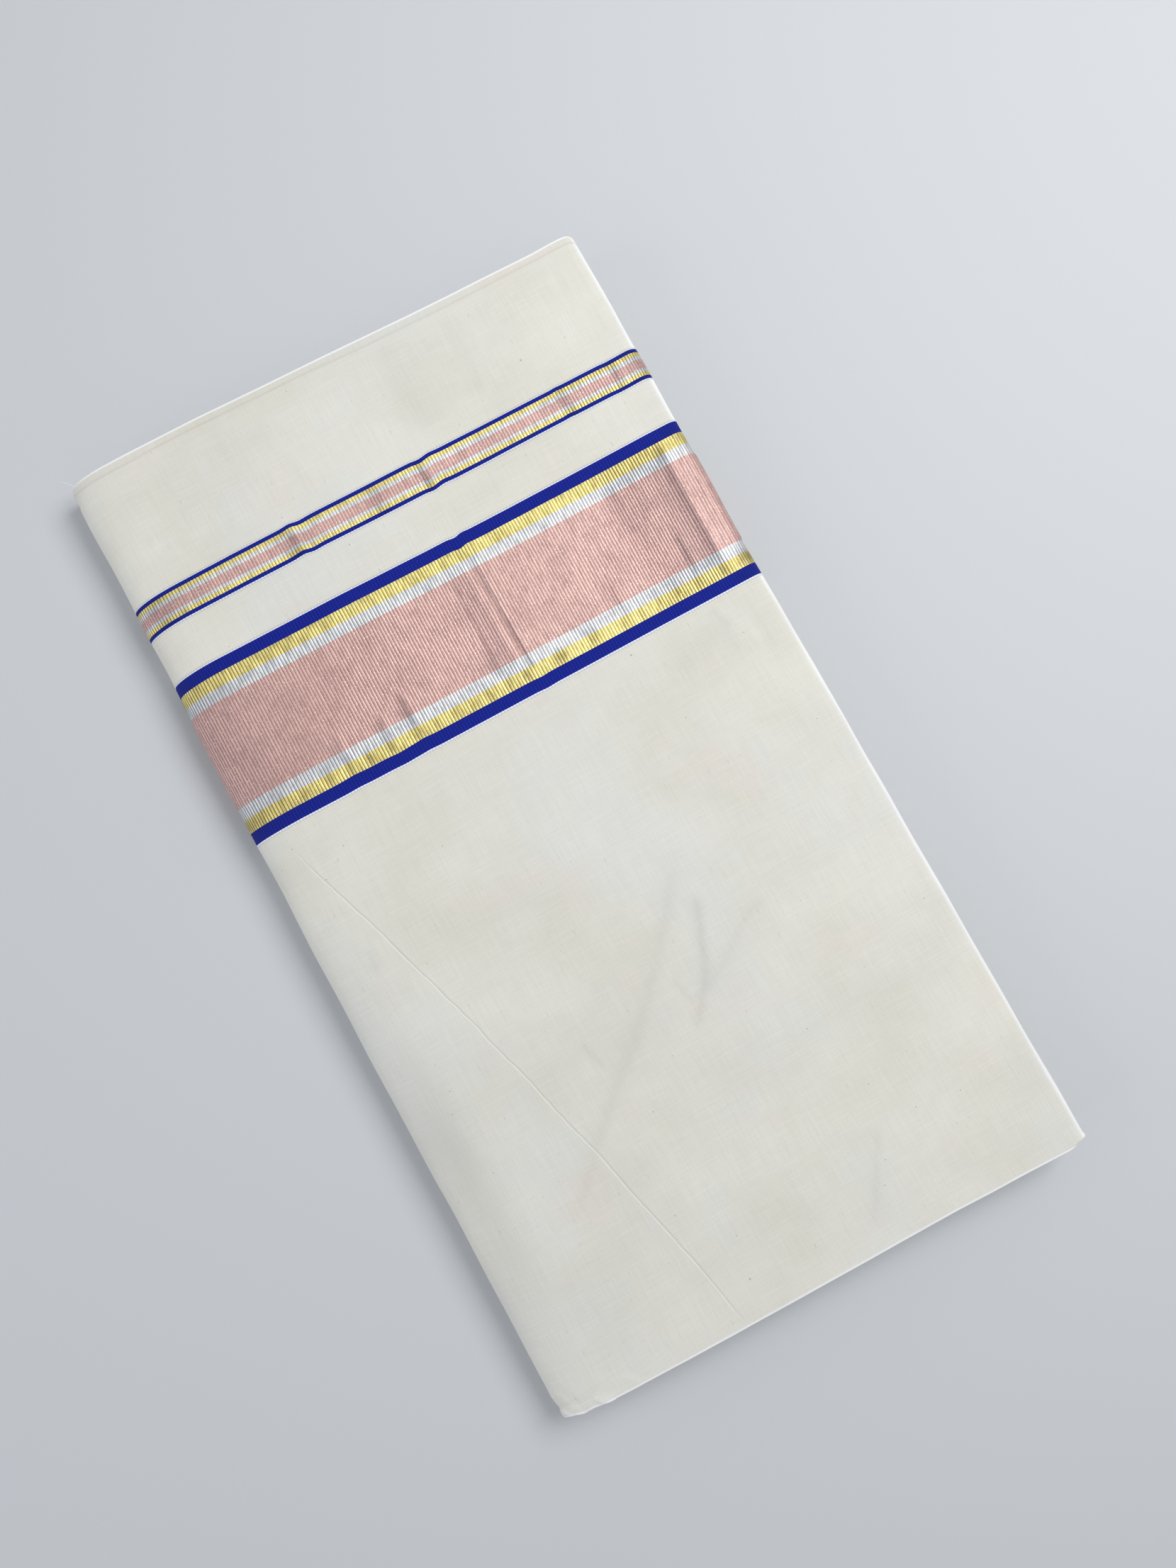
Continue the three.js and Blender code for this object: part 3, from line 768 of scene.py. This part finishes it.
def inner_end_rows(end, straight_y):
    """A few rows for the plain inner face, which stops just inside the turned-over end."""
    insets = INNER_INSETS + [END_ZONE]
    shares = [0.0] * len(INNER_INSETS) + [1.0]
    rows = Rows(end, insets, [0.0] * len(insets), shares, [straight_y] * len(insets))
    return rows.only(np.arange(len(insets))[::-1]) if end == "head" else rows


def straight_rows(ys):
    """Rows at given y, straight across."""
    ys = np.array(ys, float)
    return Rows(None, ys * 0, ys * 0, ys * 0 + 1, ys)


def stripe_rows(top, stripes, steps):
    """Rows at every stripe's edges, with even ones between, and the finish of each gap."""
    ys, finishes = [top], []
    edge = top
    for finish, wide in stripes:
        count = max(1, round(wide / steps[finish]))
        ys += [edge - wide * (k + 1) / count for k in range(count)]
        finishes += [finish] * count
        edge -= wide
    return ys, finishes


# ---------------------------------------------------------------- materials
def linear(hex_colour):
    """A colour written in sRGB hex, as linear light."""
    channels = [int(hex_colour[k:k + 2], 16) / 255 for k in (1, 3, 5)]
    return [c / 12.92 if c <= 0.04045 else ((c + 0.055) / 1.055) ** 2.4 for c in channels] + [1.0]


def new_material(name):
    """An empty node material, with its shader."""
    material = bpy.data.materials.new(name)
    material.use_nodes = True
    return material, material.node_tree.nodes["Principled BSDF"]


def feed(node, inputs):
    """Fills a node's sockets: an output is linked, and a constant is set on the socket itself."""
    for key, value in inputs.items():
        if isinstance(value, bpy.types.NodeSocket):
            node.id_data.links.new(value, node.inputs[key])
        else:
            node.inputs[key].default_value = value


def add(material, kind, inputs=None, **settings):
    """Adds a node: settings go to its own properties, and inputs to its sockets."""
    node = material.node_tree.nodes.new(kind)
    for key, value in settings.items():
        setattr(node, key, value)
    feed(node, inputs or {})
    return node


def laid_over(material, colour, tones):
    """A colour with others mixed over it in turn: each a factor, and the tone in sRGB hex."""
    for factor, tone in tones:
        inputs = {0: factor, 6: colour, 7: linear(tone)}
        colour = add(material, "ShaderNodeMix", inputs, data_type="RGBA").outputs[2]
    return colour


def maths(material, operation, first, second=0.0, third=0.0):
    """One sum on numbers or outputs."""
    inputs = {0: first, 1: second, 2: third}
    return add(material, "ShaderNodeMath", inputs, operation=operation).outputs[0]


def between(material, value, low, high, to_low=0.0, to_high=1.0):
    """Stretches an output from one range to another, held at its ends."""
    inputs = {"Value": value, "From Min": low, "From Max": high, "To Min": to_low, "To Max": to_high}
    return add(material, "ShaderNodeMapRange", inputs).outputs["Result"]


def point_value(material, name):
    """A value that the cloth's mesh holds at each point: its shade, or the strength of its ribs."""
    return add(material, "ShaderNodeAttribute", attribute_name=name).outputs["Fac"]


def map_noise(material, layer, across, along, detail, roughness):
    """Noise on one of the cloth's maps, with its two directions scaled."""
    uv = add(material, "ShaderNodeUVMap", uv_map=layer)
    mapping = add(material, "ShaderNodeMapping", {"Vector": uv.outputs["UV"], "Scale": (across, along, 1.0)})
    inputs = {"Vector": mapping.outputs["Vector"], "Scale": 1.0, "Detail": detail, "Roughness": roughness}
    return add(material, "ShaderNodeTexNoise", inputs).outputs["Fac"]


def cloth_noise(material, across, along, detail):
    """Noise round and along the cloth, with blots of about the two sizes in millimetres."""
    return map_noise(material, "cloth", 1 / (across * MM), 1 / (along * MM), detail, 0.55)


def blots(material, across, along, detail, low, high, strength):
    """Cloth noise, stretched from between two of its levels to between 0 and a strength."""
    return between(material, cloth_noise(material, across, along, detail), low, high, 0.0, strength)


def thread_beads(material, across, along):
    """Noise that changes from rib to rib and along each one: the turns of the wrapped thread."""
    return map_noise(material, "ribs", across, 1 / (along * MM), 2.0, 0.5)


def rib_share(material):
    """0 in the valley between two ribs and 1 on the crest: the sine of the ribs passed, times pi."""
    uv = add(material, "ShaderNodeUVMap", uv_map="ribs")
    parts = add(material, "ShaderNodeSeparateXYZ", {"Vector": uv.outputs["UV"]})
    fraction = maths(material, "FRACT", parts.outputs["X"])
    return maths(material, "SINE", maths(material, "MULTIPLY", fraction, math.pi))


def bumped(material, height, strength, distance):
    """The normal over a fine relief: an output's height, times a distance in metres."""
    inputs = {"Strength": strength, "Distance": distance, "Height": height}
    return add(material, "ShaderNodeBump", inputs).outputs["Normal"]


# The long crease: a painted highlight on its crest and a painted shadow at its right side
SLANT_HALF = 0.45
SLANT_WOBBLE = 3.0
SLANT_SHIFT = 0.6  # the bright crest lies this far left of the ridge
SLANT_FADES = (15, 22)  # how far it takes to fade in at its foot and at its start
TOP_FACE = (0.020, 0.024)  # metres up, between which the sides give way to the top
DARK_SIDE = 2.0  # half widths from the crest to the dark line at its right


def slant_line(material):
    """The long crease's painted highlight on its crest and painted shadow at its right side, each
    1 / (1 + s^4), where s is the distance over the half width, along start + slope d + bend d^2
    with a small wobble."""
    place = add(material, "ShaderNodeTexCoord").outputs["Object"]
    axes = add(material, "ShaderNodeSeparateXYZ", {"Vector": place}).outputs
    d = maths(material, "SUBTRACT", SLANT_Y * MM, axes["Y"])
    line = maths(material, "MULTIPLY_ADD", d, SLANT_BEND / MM, SLANT_SLOPE)
    start = (SLANT_X - SLANT_SHIFT - SLANT_WOBBLE / 2) * MM
    line = maths(material, "MULTIPLY_ADD", d, line, start)
    wobble = add(material, "ShaderNodeTexNoise", {"Vector": place, "Scale": 45.0, "Detail": 2.0})
    line = maths(material, "MULTIPLY_ADD", wobble.outputs["Fac"], SLANT_WOBBLE * MM, line)
    s = maths(material, "DIVIDE", maths(material, "SUBTRACT", axes["X"], line), SLANT_HALF * MM)
    down = between(material, axes["Y"], SLANT_END * MM, (SLANT_END + SLANT_FADES[0]) * MM)
    up = between(material, axes["Y"], SLANT_Y * MM, (SLANT_Y - SLANT_FADES[1]) * MM)
    top = between(material, axes["Z"], *TOP_FACE)
    share = maths(material, "MULTIPLY", maths(material, "MULTIPLY", down, up), top)

    def peak(along_s):
        square = maths(material, "MULTIPLY", along_s, along_s)
        return maths(material, "DIVIDE", share, maths(material, "MULTIPLY_ADD", square, square, 1.0))

    return peak(s), peak(maths(material, "SUBTRACT", s, DARK_SIDE))


# Tones of the plain cloth, laid over one another: blots across and along, detail, low, high,
# strength, and the tone. Threads lie 0.3 mm apart, and are drawn three times coarser, so that they show.
CREAM_TONES = [
    (75, 60, 5.0, 0.34, 0.66, 1.0, "#D5D3C8"),  # slow patches
    (110, 120, 4.0, 0.45, 0.65, 0.5, "#D8DADA"),  # cool ones
    (70, 48, 4.0, 0.55, 0.72, 0.5, "#DCD4CB"),  # warm ones
    (0.95, 26, 2.0, 0.32, 0.72, 0.18, "#BDBBB0"),  # streaks of the warp
    (22, 0.9, 2.0, 0.45, 0.75, 0.15, "#F2F1EA"),  # picks of the weft
    (1.3, 6.0, 1.0, 0.72, 0.80, 0.34, "#A9A69B"),  # slubs
    (2.2, 2.2, 0.0, 0.89, 0.915, 0.5, "#7D6F60"),  # specks
]
# Relief of the plain cloth's weft and crinkles, over that of its warp: blots, detail and weight
CREAM_WARP = (0.7, 9, 2.0)
CREAM_RELIEF = [(7, 0.7, 2.0, 0.8), (6, 11, 3.0, 1.6)]
CREST_WEIGHT = 2.0


def cream_cotton():
    """Plain-woven mill-finished cotton: matt, off-white, with faint warp streaks and slubs, under
    painted shade and painted highlights.
    """
    material, shader = new_material("cream_cotton")
    shade = point_value(material, "shade")
    line, painted_crease_shadow = slant_line(material)
    tones = [(blots(material, *sizes), tone) for *sizes, tone in CREAM_TONES]
    tones += [
        # painted shade where the mesh's shade is above 0, painted highlights where it is below 0
        (maths(material, "MULTIPLY", shade, 0.30), "#9C9A94"),
        (between(material, shade, 0.0, -1.0, 0.0, 0.75), "#F6F8FC"),
        # painted highlight on the long crease's crest, and painted shadow at its right side
        (maths(material, "MULTIPLY", line, 0.42), "#F4F3EE"),
        (maths(material, "MULTIPLY", painted_crease_shadow, 0.30), "#A09E96"),
    ]
    height = cloth_noise(material, *CREAM_WARP)
    for *sizes, weight in CREAM_RELIEF:
        height = maths(material, "MULTIPLY_ADD", cloth_noise(material, *sizes), weight, height)
    height = maths(material, "MULTIPLY_ADD", line, CREST_WEIGHT, height)
    feed(shader, {
        "Base Color": laid_over(material, linear("#DFDED5"), tones),
        "Normal": bumped(material, height, 0.35, 0.00022),
        "Roughness": 0.82, "Sheen Weight": 0.15, "Sheen Roughness": 0.5, "IOR": 1.47,
        "Specular IOR Level": 0.35,
    })
    return material


def wrapped_thread(name, crest, valley, deep, glint, metallic, roughness, glint_share):
    """Metal strip wound on a cotton core: bright crests, valleys darkened with painted shade,
    scattered painted glints, and painted shade towards the deep tone.
    """
    material, shader = new_material(name)
    shade = point_value(material, "shade")
    strength = maths(material, "ADD", point_value(material, "strength"), shade)
    hollow = between(material, rib_share(material), 0.10, 0.80, 1.0, 0.0)
    beads = thread_beads(material, 2.6, 0.8)
    spark = between(material, beads, glint_share, glint_share + 0.10)
    feed(shader, {
        "Base Color": laid_over(material, linear(crest), [
            # painted shade in the valleys between the ribs, more where the ribs are strong or shaded
            (maths(material, "MULTIPLY", hollow, strength), valley),
            (between(material, thread_beads(material, 0.9, 7.0), 0.42, 0.68, 0.0, 0.45), valley),
            (blots(material, 13, 16, 3.0, 0.45, 0.70, 0.30), valley),
            # painted glints
            (spark, glint),
            (between(material, beads, 0.42, 0.28, 0.0, 0.35), valley),
            # painted shade from the mesh's shade
            (maths(material, "MULTIPLY", shade, 0.70), deep),
        ]),
        "Normal": bumped(material, beads, 0.5, 0.00018),
        "Roughness": between(material, spark, 0.0, 1.0, roughness, roughness * 0.75),
        "Metallic": metallic, "Sheen Weight": 0.05,
    })
    return material


def blue_cotton():
    """Deep blue dyed cotton, close-packed over the ribs: matt, nearly even, with painted shade in the
    valleys and where the band lies in shade.
    """
    material, shader = new_material("blue_cotton")
    feed(shader, {
        "Base Color": laid_over(material, linear("#08125A"), [
            # lighter on the crests: the valleys keep painted shade
            (between(material, rib_share(material), 0.0, 0.8), "#0B2298"),
            (between(material, thread_beads(material, 1.4, 2.2), 0.35, 0.7, 0.0, 0.4), "#0A1678"),
            # painted shade from the mesh's shade
            (maths(material, "MULTIPLY", point_value(material, "shade"), 0.7), "#060B3C"),
        ]),
        "Normal": bumped(material, thread_beads(material, 2.0, 0.7), 0.4, 0.00015),
        "Roughness": 0.8, "Sheen Weight": 0.03, "Specular IOR Level": 0.2,
    })
    return material


def white_edge():
    """Bleached cotton weft that edges a blue stripe: one bright line with a cool cast, and painted
    shade between its ribs.
    """
    material, shader = new_material("white_edge_thread")
    # lighter on the crests: painted shade between the ribs
    crest = between(material, rib_share(material), 0.0, 0.9)
    colour = laid_over(material, linear("#C2C6DA"), [(crest, "#E9ECFA")])
    feed(shader, {"Base Color": colour, "Roughness": 0.7, "Sheen Weight": 0.1})
    return material


FINISHES = {
    "cream": cream_cotton(),
    "edge": white_edge(),
    "blue": blue_cotton(),
    # name, crest, valley (painted shade between the ribs), deep painted shade and painted glint, how
    # metallic, how rough, and where glints begin
    "gold": wrapped_thread("gold_thread", "#FEEE96", "#806F36", "#6E6230", "#FFF6C4", 0.30, 0.42, 0.64),
    "silver": wrapped_thread("silver_thread", "#E9E9E9", "#7C8087", "#6F757C", "#FFFFFF", 0.25, 0.40, 0.66),
    "rose": wrapped_thread("rose_thread", "#DDB5AC", "#987572", "#6A5458", "#F8DCD3", 0.25, 0.45, 0.60),
}

# ---------------------------------------------------------------- the outer cloth
def cloth_piece(name, blocks):
    """One stretch of the outer cloth, in place of its plain solid, which it hides."""
    piece = sewn_shell(name + "_cloth", blocks, [FINISHES[finish] for finish in FINISH_ORDER])
    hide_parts(name)


def plain_stretch(name, ys):
    """A straight stretch of plain cloth between two bands."""
    rows = straight_rows(ys)
    blocks = [
        outer_block(rows, FINE, ["cream"] * len(ys), False),
        inner_block(straight_rows([ys[-1], ys[0]])),
    ]
    cloth_piece(name, blocks)


def band(name, top, stripes, steps):
    """A ribbed band, with rows at the edges of its stripes."""
    ys, finishes = stripe_rows(top, stripes, steps)
    blocks = [
        outer_block(straight_rows(ys), FINE, finishes + finishes[-1:], False),
        inner_block(straight_rows([ys[-1], ys[0]])),
    ]
    cloth_piece(name, blocks)


def end_stretch(name, end, band_y, step):
    """The plain stretch between an end and a band: coarse, but fine where the ribs die away."""
    sign = 1 if end == "head" else -1
    plain_y = band_y + sign * PUCKER_ZONE
    coarse = end_rows(end, plain_y, step, near_step=0.7)
    fine = straight_rows(np.linspace(plain_y - sign * 1.1, band_y, 9)[::sign])
    cream = ["cream"] * max(len(coarse.insets), len(fine.insets))
    outer = [(coarse, COARSE), (fine, FINE)][::sign]
    blocks = [
        outer_block(*outer[0], cream),
        outer_block(*outer[1], cream, False),
        inner_block(inner_end_rows(end, band_y)),
    ]
    cloth_piece(name, blocks)


def make_outer_cloth():
    """The five stretches, from the head to the foot."""
    end_stretch("pallu_end", "head", NARROW_HEAD, step=1.3)
    steps = {"edge": 0.5, "blue": 1.1, "gold": 1.1, "silver": 1.1, "rose": 1.3}
    band("narrow_band", NARROW_HEAD, NARROW_STRIPES, steps)
    plain_stretch("band_gap", np.linspace(NARROW_FOOT, WIDE_HEAD, 22))
    steps = {"edge": 0.6, "blue": 1.4, "gold": 1.4, "silver": 1.4, "rose": 1.75}
    band("wide_band", WIDE_HEAD, WIDE_STRIPES, steps)
    end_stretch("body_panel", "foot", WIDE_FOOT, step=1.8)


# ---------------------------------------------------------------- the hidden layers
FOLDS_A_HALF = 12  # folded edges that show in each half of the thickness
FOLD_GROOVE = 0.9
LEVELS_A_FOLD = 6
FOLD_PLACES = (0.25, 1.45)  # how far in a fold's edge may lie
FOLD_WAVES = [((110, 190), 0.30), ((35, 60), 0.16)]  # shortest and longest wave, and its height
FOLD_PHASES = (0, 6.28)
LEAST_INSET = 0.1
SELVEDGE_INSET = 1.4  # the stacked selvedges at the right lie further in
CLEARANCE = 0.1  # from the outer cloth to the layers
SLOT_HALF = 0.3  # from the tucked-in cloth to the layers above and below it
SLOT_END = 0.6  # from its edge to where its slot ends
RING_POINTS = 150  # on each side of a ring
LEFT_SHARES = np.array([0.994, 0.988, 0.98, 0.97, 0.5, 0.03, 0.02, 0.012, 0.006])
RING_INSET = 1.0  # where the corners' holds are read


def fold_edges(rng, spots):
    """How far in each fold's edge lies along a side: its own place, with two slow sine waves."""
    total = np.full(len(spots), rng.uniform(*FOLD_PLACES))
    waves = [(rng.uniform(*lengths), height) for lengths, height in FOLD_WAVES]
    for wave, height in waves:
        total = total + height * np.sin(2 * np.pi * spots / wave + rng.uniform(*FOLD_PHASES))
    return np.maximum(total, LEAST_INSET)


def hidden_side(z):
    """How far in the left side lies at height z, inside the shoulder and the heel: ellipses."""
    reach = SHOULDER_REACH if z > MID_Z else HEEL_REACH
    share = min(abs(z - MID_Z) / (MID_Z - LAYERS_INSET), 1)
    return reach - (reach - LAYERS_INSET) * math.sqrt(1 - share**2)


def hidden_roll(z):
    """How far in the right side lies at height z, inside the roll: a circle."""
    radius = ROLL_R - LAYERS_INSET
    share = min(abs(z - MID_Z - ROLL_R) / radius, 1)
    return ROLL_R - radius * math.sqrt(1 - share**2)


def fold_rings():
    """Rings at rising heights, as height and how far in the head, the foot and the right side lie.
    Each fold bulges as a half circle, at its own uneven place."""
    rng = np.random.default_rng(7)
    x_spots, y_spots = (np.linspace(0, 1, RING_POINTS) * reach for reach in (FOOT_WIDTH, HEAD_Y - FOOT_Y))
    lower = (CLOTH + CLEARANCE, MID_Z - SLOT_HALF)
    upper = (MID_Z + CLOTH + SLOT_HALF, THICKNESS - CLOTH - CLEARANCE)
    slot = np.full(RING_POINTS, ROLL_R + TUCK + SLOT_END)
    rings = []
    for low, high in (lower, upper):
        depth = (high - low) / FOLDS_A_HALF
        for k in range(FOLDS_A_HALF):
            head, foot = fold_edges(rng, x_spots), fold_edges(rng, x_spots)
            side = fold_edges(rng, y_spots) + SELVEDGE_INSET
            for j in range(LEVELS_A_FOLD):
                t = j / LEVELS_A_FOLD
                groove = FOLD_GROOVE * (1 - math.sqrt(max(0.0, 1 - (2 * t - 1) ** 2)))
                z = low + (k + t) * depth
                right = np.full(RING_POINTS, hidden_roll(z)) if low == upper[0] else side + groove
                rings.append((z, head + groove, foot + groove, right))
        ends = head + FOLD_GROOVE, foot + FOLD_GROOVE
        rings.append((high, *ends, right))
        if low == lower[0]:
            rings += [(high, *ends, slot), (upper[0], *ends, slot)]
    return rings


def corner_hold(end, side, insets):
    """How far a corner holds the side in, at distances from its end."""
    return interpolate(CORNER_HOLDS[end + "_" + side], insets)


def plan_ring(z, head, foot, right):
    """Outline at one height, counter-clockwise from above: foot, right side, head, left side."""
    left = hidden_side(z)

    def end_points(end, end_y, right_inset):
        start = left_x(end_y) + left + corner_hold(end, "left", RING_INSET)
        stop = right_x(end_y) - right_inset - corner_hold(end, "right", RING_INSET)
        return np.linspace(float(start), float(stop), RING_POINTS)

    def held(side, y, first, last):
        from_foot = corner_hold("foot", side, y - first + RING_INSET)
        return np.maximum(from_foot + corner_hold("head", side, last - y + RING_INSET), 0)

    x_foot = end_points("foot", FOOT_Y, right[0])
    x_head = end_points("head", HEAD_Y, right[-1])
    y_foot, y_head = foot_y(x_foot) + foot, head_y(x_head) - head
    y_right = y_foot[-1] + (y_head[-1] - y_foot[-1]) * np.linspace(0, 1, RING_POINTS)[1:-1]
    x_right = right_x(y_right) - right[1:-1] - held("right", y_right, y_foot[-1], y_head[-1])
    y_left = y_foot[0] + (y_head[0] - y_foot[0]) * LEFT_SHARES
    x_left = left_x(y_left) + left + held("left", y_left, y_foot[0], y_head[0])
    x = np.concatenate([x_foot, x_right, x_head[::-1], x_left])
    y = np.concatenate([y_foot, y_right, y_head[::-1], y_left])
    lengths = np.concatenate([[0], np.cumsum(np.hypot(np.diff(x), np.diff(y)))])
    points = np.stack([x, y, np.full(len(x), z)], axis=1)
    return points, np.stack([lengths, np.full(len(x), z)], axis=1) * MM


def make_hidden_layers():
    """The folded edges and selvedges as one closed solid, of rings joined from below."""
    loops, uvs = (np.array(part) for part in zip(*(plan_ring(*ring) for ring in fold_rings())))
    faces = tube_faces(*loops.shape[:2])
    piece = new_object("folded_layers_edges", loops.reshape(-1, 3), faces, [FINISHES["cream"]])
    piece.data.polygons.foreach_set("use_smooth", [True] * (len(faces) - 2) + [False] * 2)
    set_map(piece.data, "cloth", uvs.reshape(-1, 2))
    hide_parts("folded_layers")


# ---------------------------------------------------------------- the stray thread
STRAY_THREAD = [(-142.5, 271.3, 20.0), (-148.6, 279.7, 16.5), (-151.0, 281.8, 15.0)]  # root, bend and tip
THREAD_RADIUS = 0.16


def make_stray_thread():
    """A loose weft end at the head's left corner: a tube of six sides that thins to its tip, along
    the curve (1 - t)^2 root + 2 t (1 - t) bend + t^2 tip."""
    root, bend, tip = np.array(STRAY_THREAD)
    t = np.linspace(0, 1, 25)[:, None]
    centre = (1 - t) ** 2 * root + 2 * t * (1 - t) * bend + t**2 * tip
    along = np.gradient(centre, axis=0)
    along /= np.linalg.norm(along, axis=1)[:, None]
    side = np.cross(along, [0, 0, 1.0])
    side /= np.linalg.norm(side, axis=1)[:, None]
    up = np.cross(side, along)
    angles = np.linspace(0, 2 * np.pi, 6, endpoint=False)
    radius = THREAD_RADIUS * np.linspace(1, 0.45, len(centre))[:, None, None]
    turned = np.cos(angles)[:, None], np.sin(angles)[:, None]
    ring = turned[0] * side[:, None, :] + turned[1] * up[:, None, :]
    points = centre[:, None, :] + radius * ring
    faces = [face[::-1] for face in tube_faces(*points.shape[:2])]
    points = points.reshape(-1, 3)
    piece = new_object("stray_thread", points, faces, [FINISHES["edge"]])
    set_map(piece.data, "ribs", np.full((len(points), 2), 0.5))


# ---------------------------------------------------------------- floor, light and camera
CAMERA_PLACE = (-25.8, -3.4, 631.0)
CAMERA_LEAN_X = 3.79  # degrees, how far the view leans towards +X
CAMERA_LEAN_Y = 1.34
CAMERA_TURN = -28.85
CAMERA_LENS = 27.02
SENSOR_WIDTH = 36.0
CLIP_RANGE = (0.01, 20.0)  # metres
FLOOR_HALF = 3000.0


def set_up(name, data, axes, place):
    """Puts a camera or a light in the scene, with its own three axes, at a place in millimetres."""
    thing = bpy.data.objects.new(name, data)
    bpy.context.scene.collection.objects.link(thing)
    matrix = np.eye(4)
    matrix[:3, :3] = np.stack(axes, axis=1)
    matrix[:3, 3] = np.array(place, float) * MM
    thing.matrix_world = Matrix(matrix.tolist())
    return thing


def make_camera():
    """Looks almost straight down: its axes follow from its lean and its turn about the line of sight."""
    lean = math.radians(math.hypot(CAMERA_LEAN_X, CAMERA_LEAN_Y))
    towards = math.atan2(CAMERA_LEAN_Y, CAMERA_LEAN_X)
    turn = math.radians(CAMERA_TURN)
    aside = math.sin(lean)
    forward = np.array([aside * math.cos(towards), aside * math.sin(towards), -math.cos(lean)])
    right = np.cross(forward, [-math.sin(turn), math.cos(turn), 0.0])
    right /= np.linalg.norm(right)
    data = bpy.data.cameras.new("camera")
    data.sensor_width = SENSOR_WIDTH
    data.lens = CAMERA_LENS
    data.clip_start, data.clip_end = CLIP_RANGE
    axes = (right, np.cross(right, forward), -forward)
    bpy.context.scene.camera = set_up("camera", data, axes, CAMERA_PLACE)


def make_floor():
    """A wide matt floor, pale and plain."""
    half = FLOOR_HALF * MM
    mesh = bpy.data.meshes.new("floor")
    corners = [(x * half, y * half, 0.0) for x, y in ((-1, -1), (1, -1), (1, 1), (-1, 1))]
    mesh.from_pydata(corners, [], [(0, 1, 2, 3)])
    material, shader = new_material("floor_paper")
    feed(shader, {"Base Color": linear("#C9CCD0"), "Roughness": 0.9})
    mesh.materials.append(material)
    floor = bpy.data.objects.new("floor", mesh)
    bpy.context.scene.collection.objects.link(floor)


def area_light(name, place, size, power, colour="#FFFFFF"):
    """A square soft light at a place in millimetres, turned to the origin."""
    data = bpy.data.lights.new(name, "AREA")
    data.shape = "SQUARE"
    data.size = size * MM
    data.energy = power
    data.color = linear(colour)[:3]
    back = np.array(place, float) / np.linalg.norm(place)
    side = np.cross([0, 0, 1.0], back)
    side /= np.linalg.norm(side)
    set_up(name, data, (side, np.cross(back, side), back), place)


def make_light():
    """A big soft light from the right, a weak one from the left, and an even pale sky."""
    area_light("window", (760, 230, 1150), 700, 12.4)
    area_light("fill", (-1500, 200, 420), 1400, 9.0, "#F0F4FF")
    world = bpy.data.worlds.new("studio")
    world.use_nodes = True
    feed(world.node_tree.nodes["Background"], {"Color": linear("#F6F7F8"), "Strength": 0.50})
    bpy.context.scene.world = world
    bpy.context.scene.view_settings.view_transform = "Standard"


make_outer_cloth()
make_hidden_layers()
make_stray_thread()
make_floor()
make_light()
make_camera()
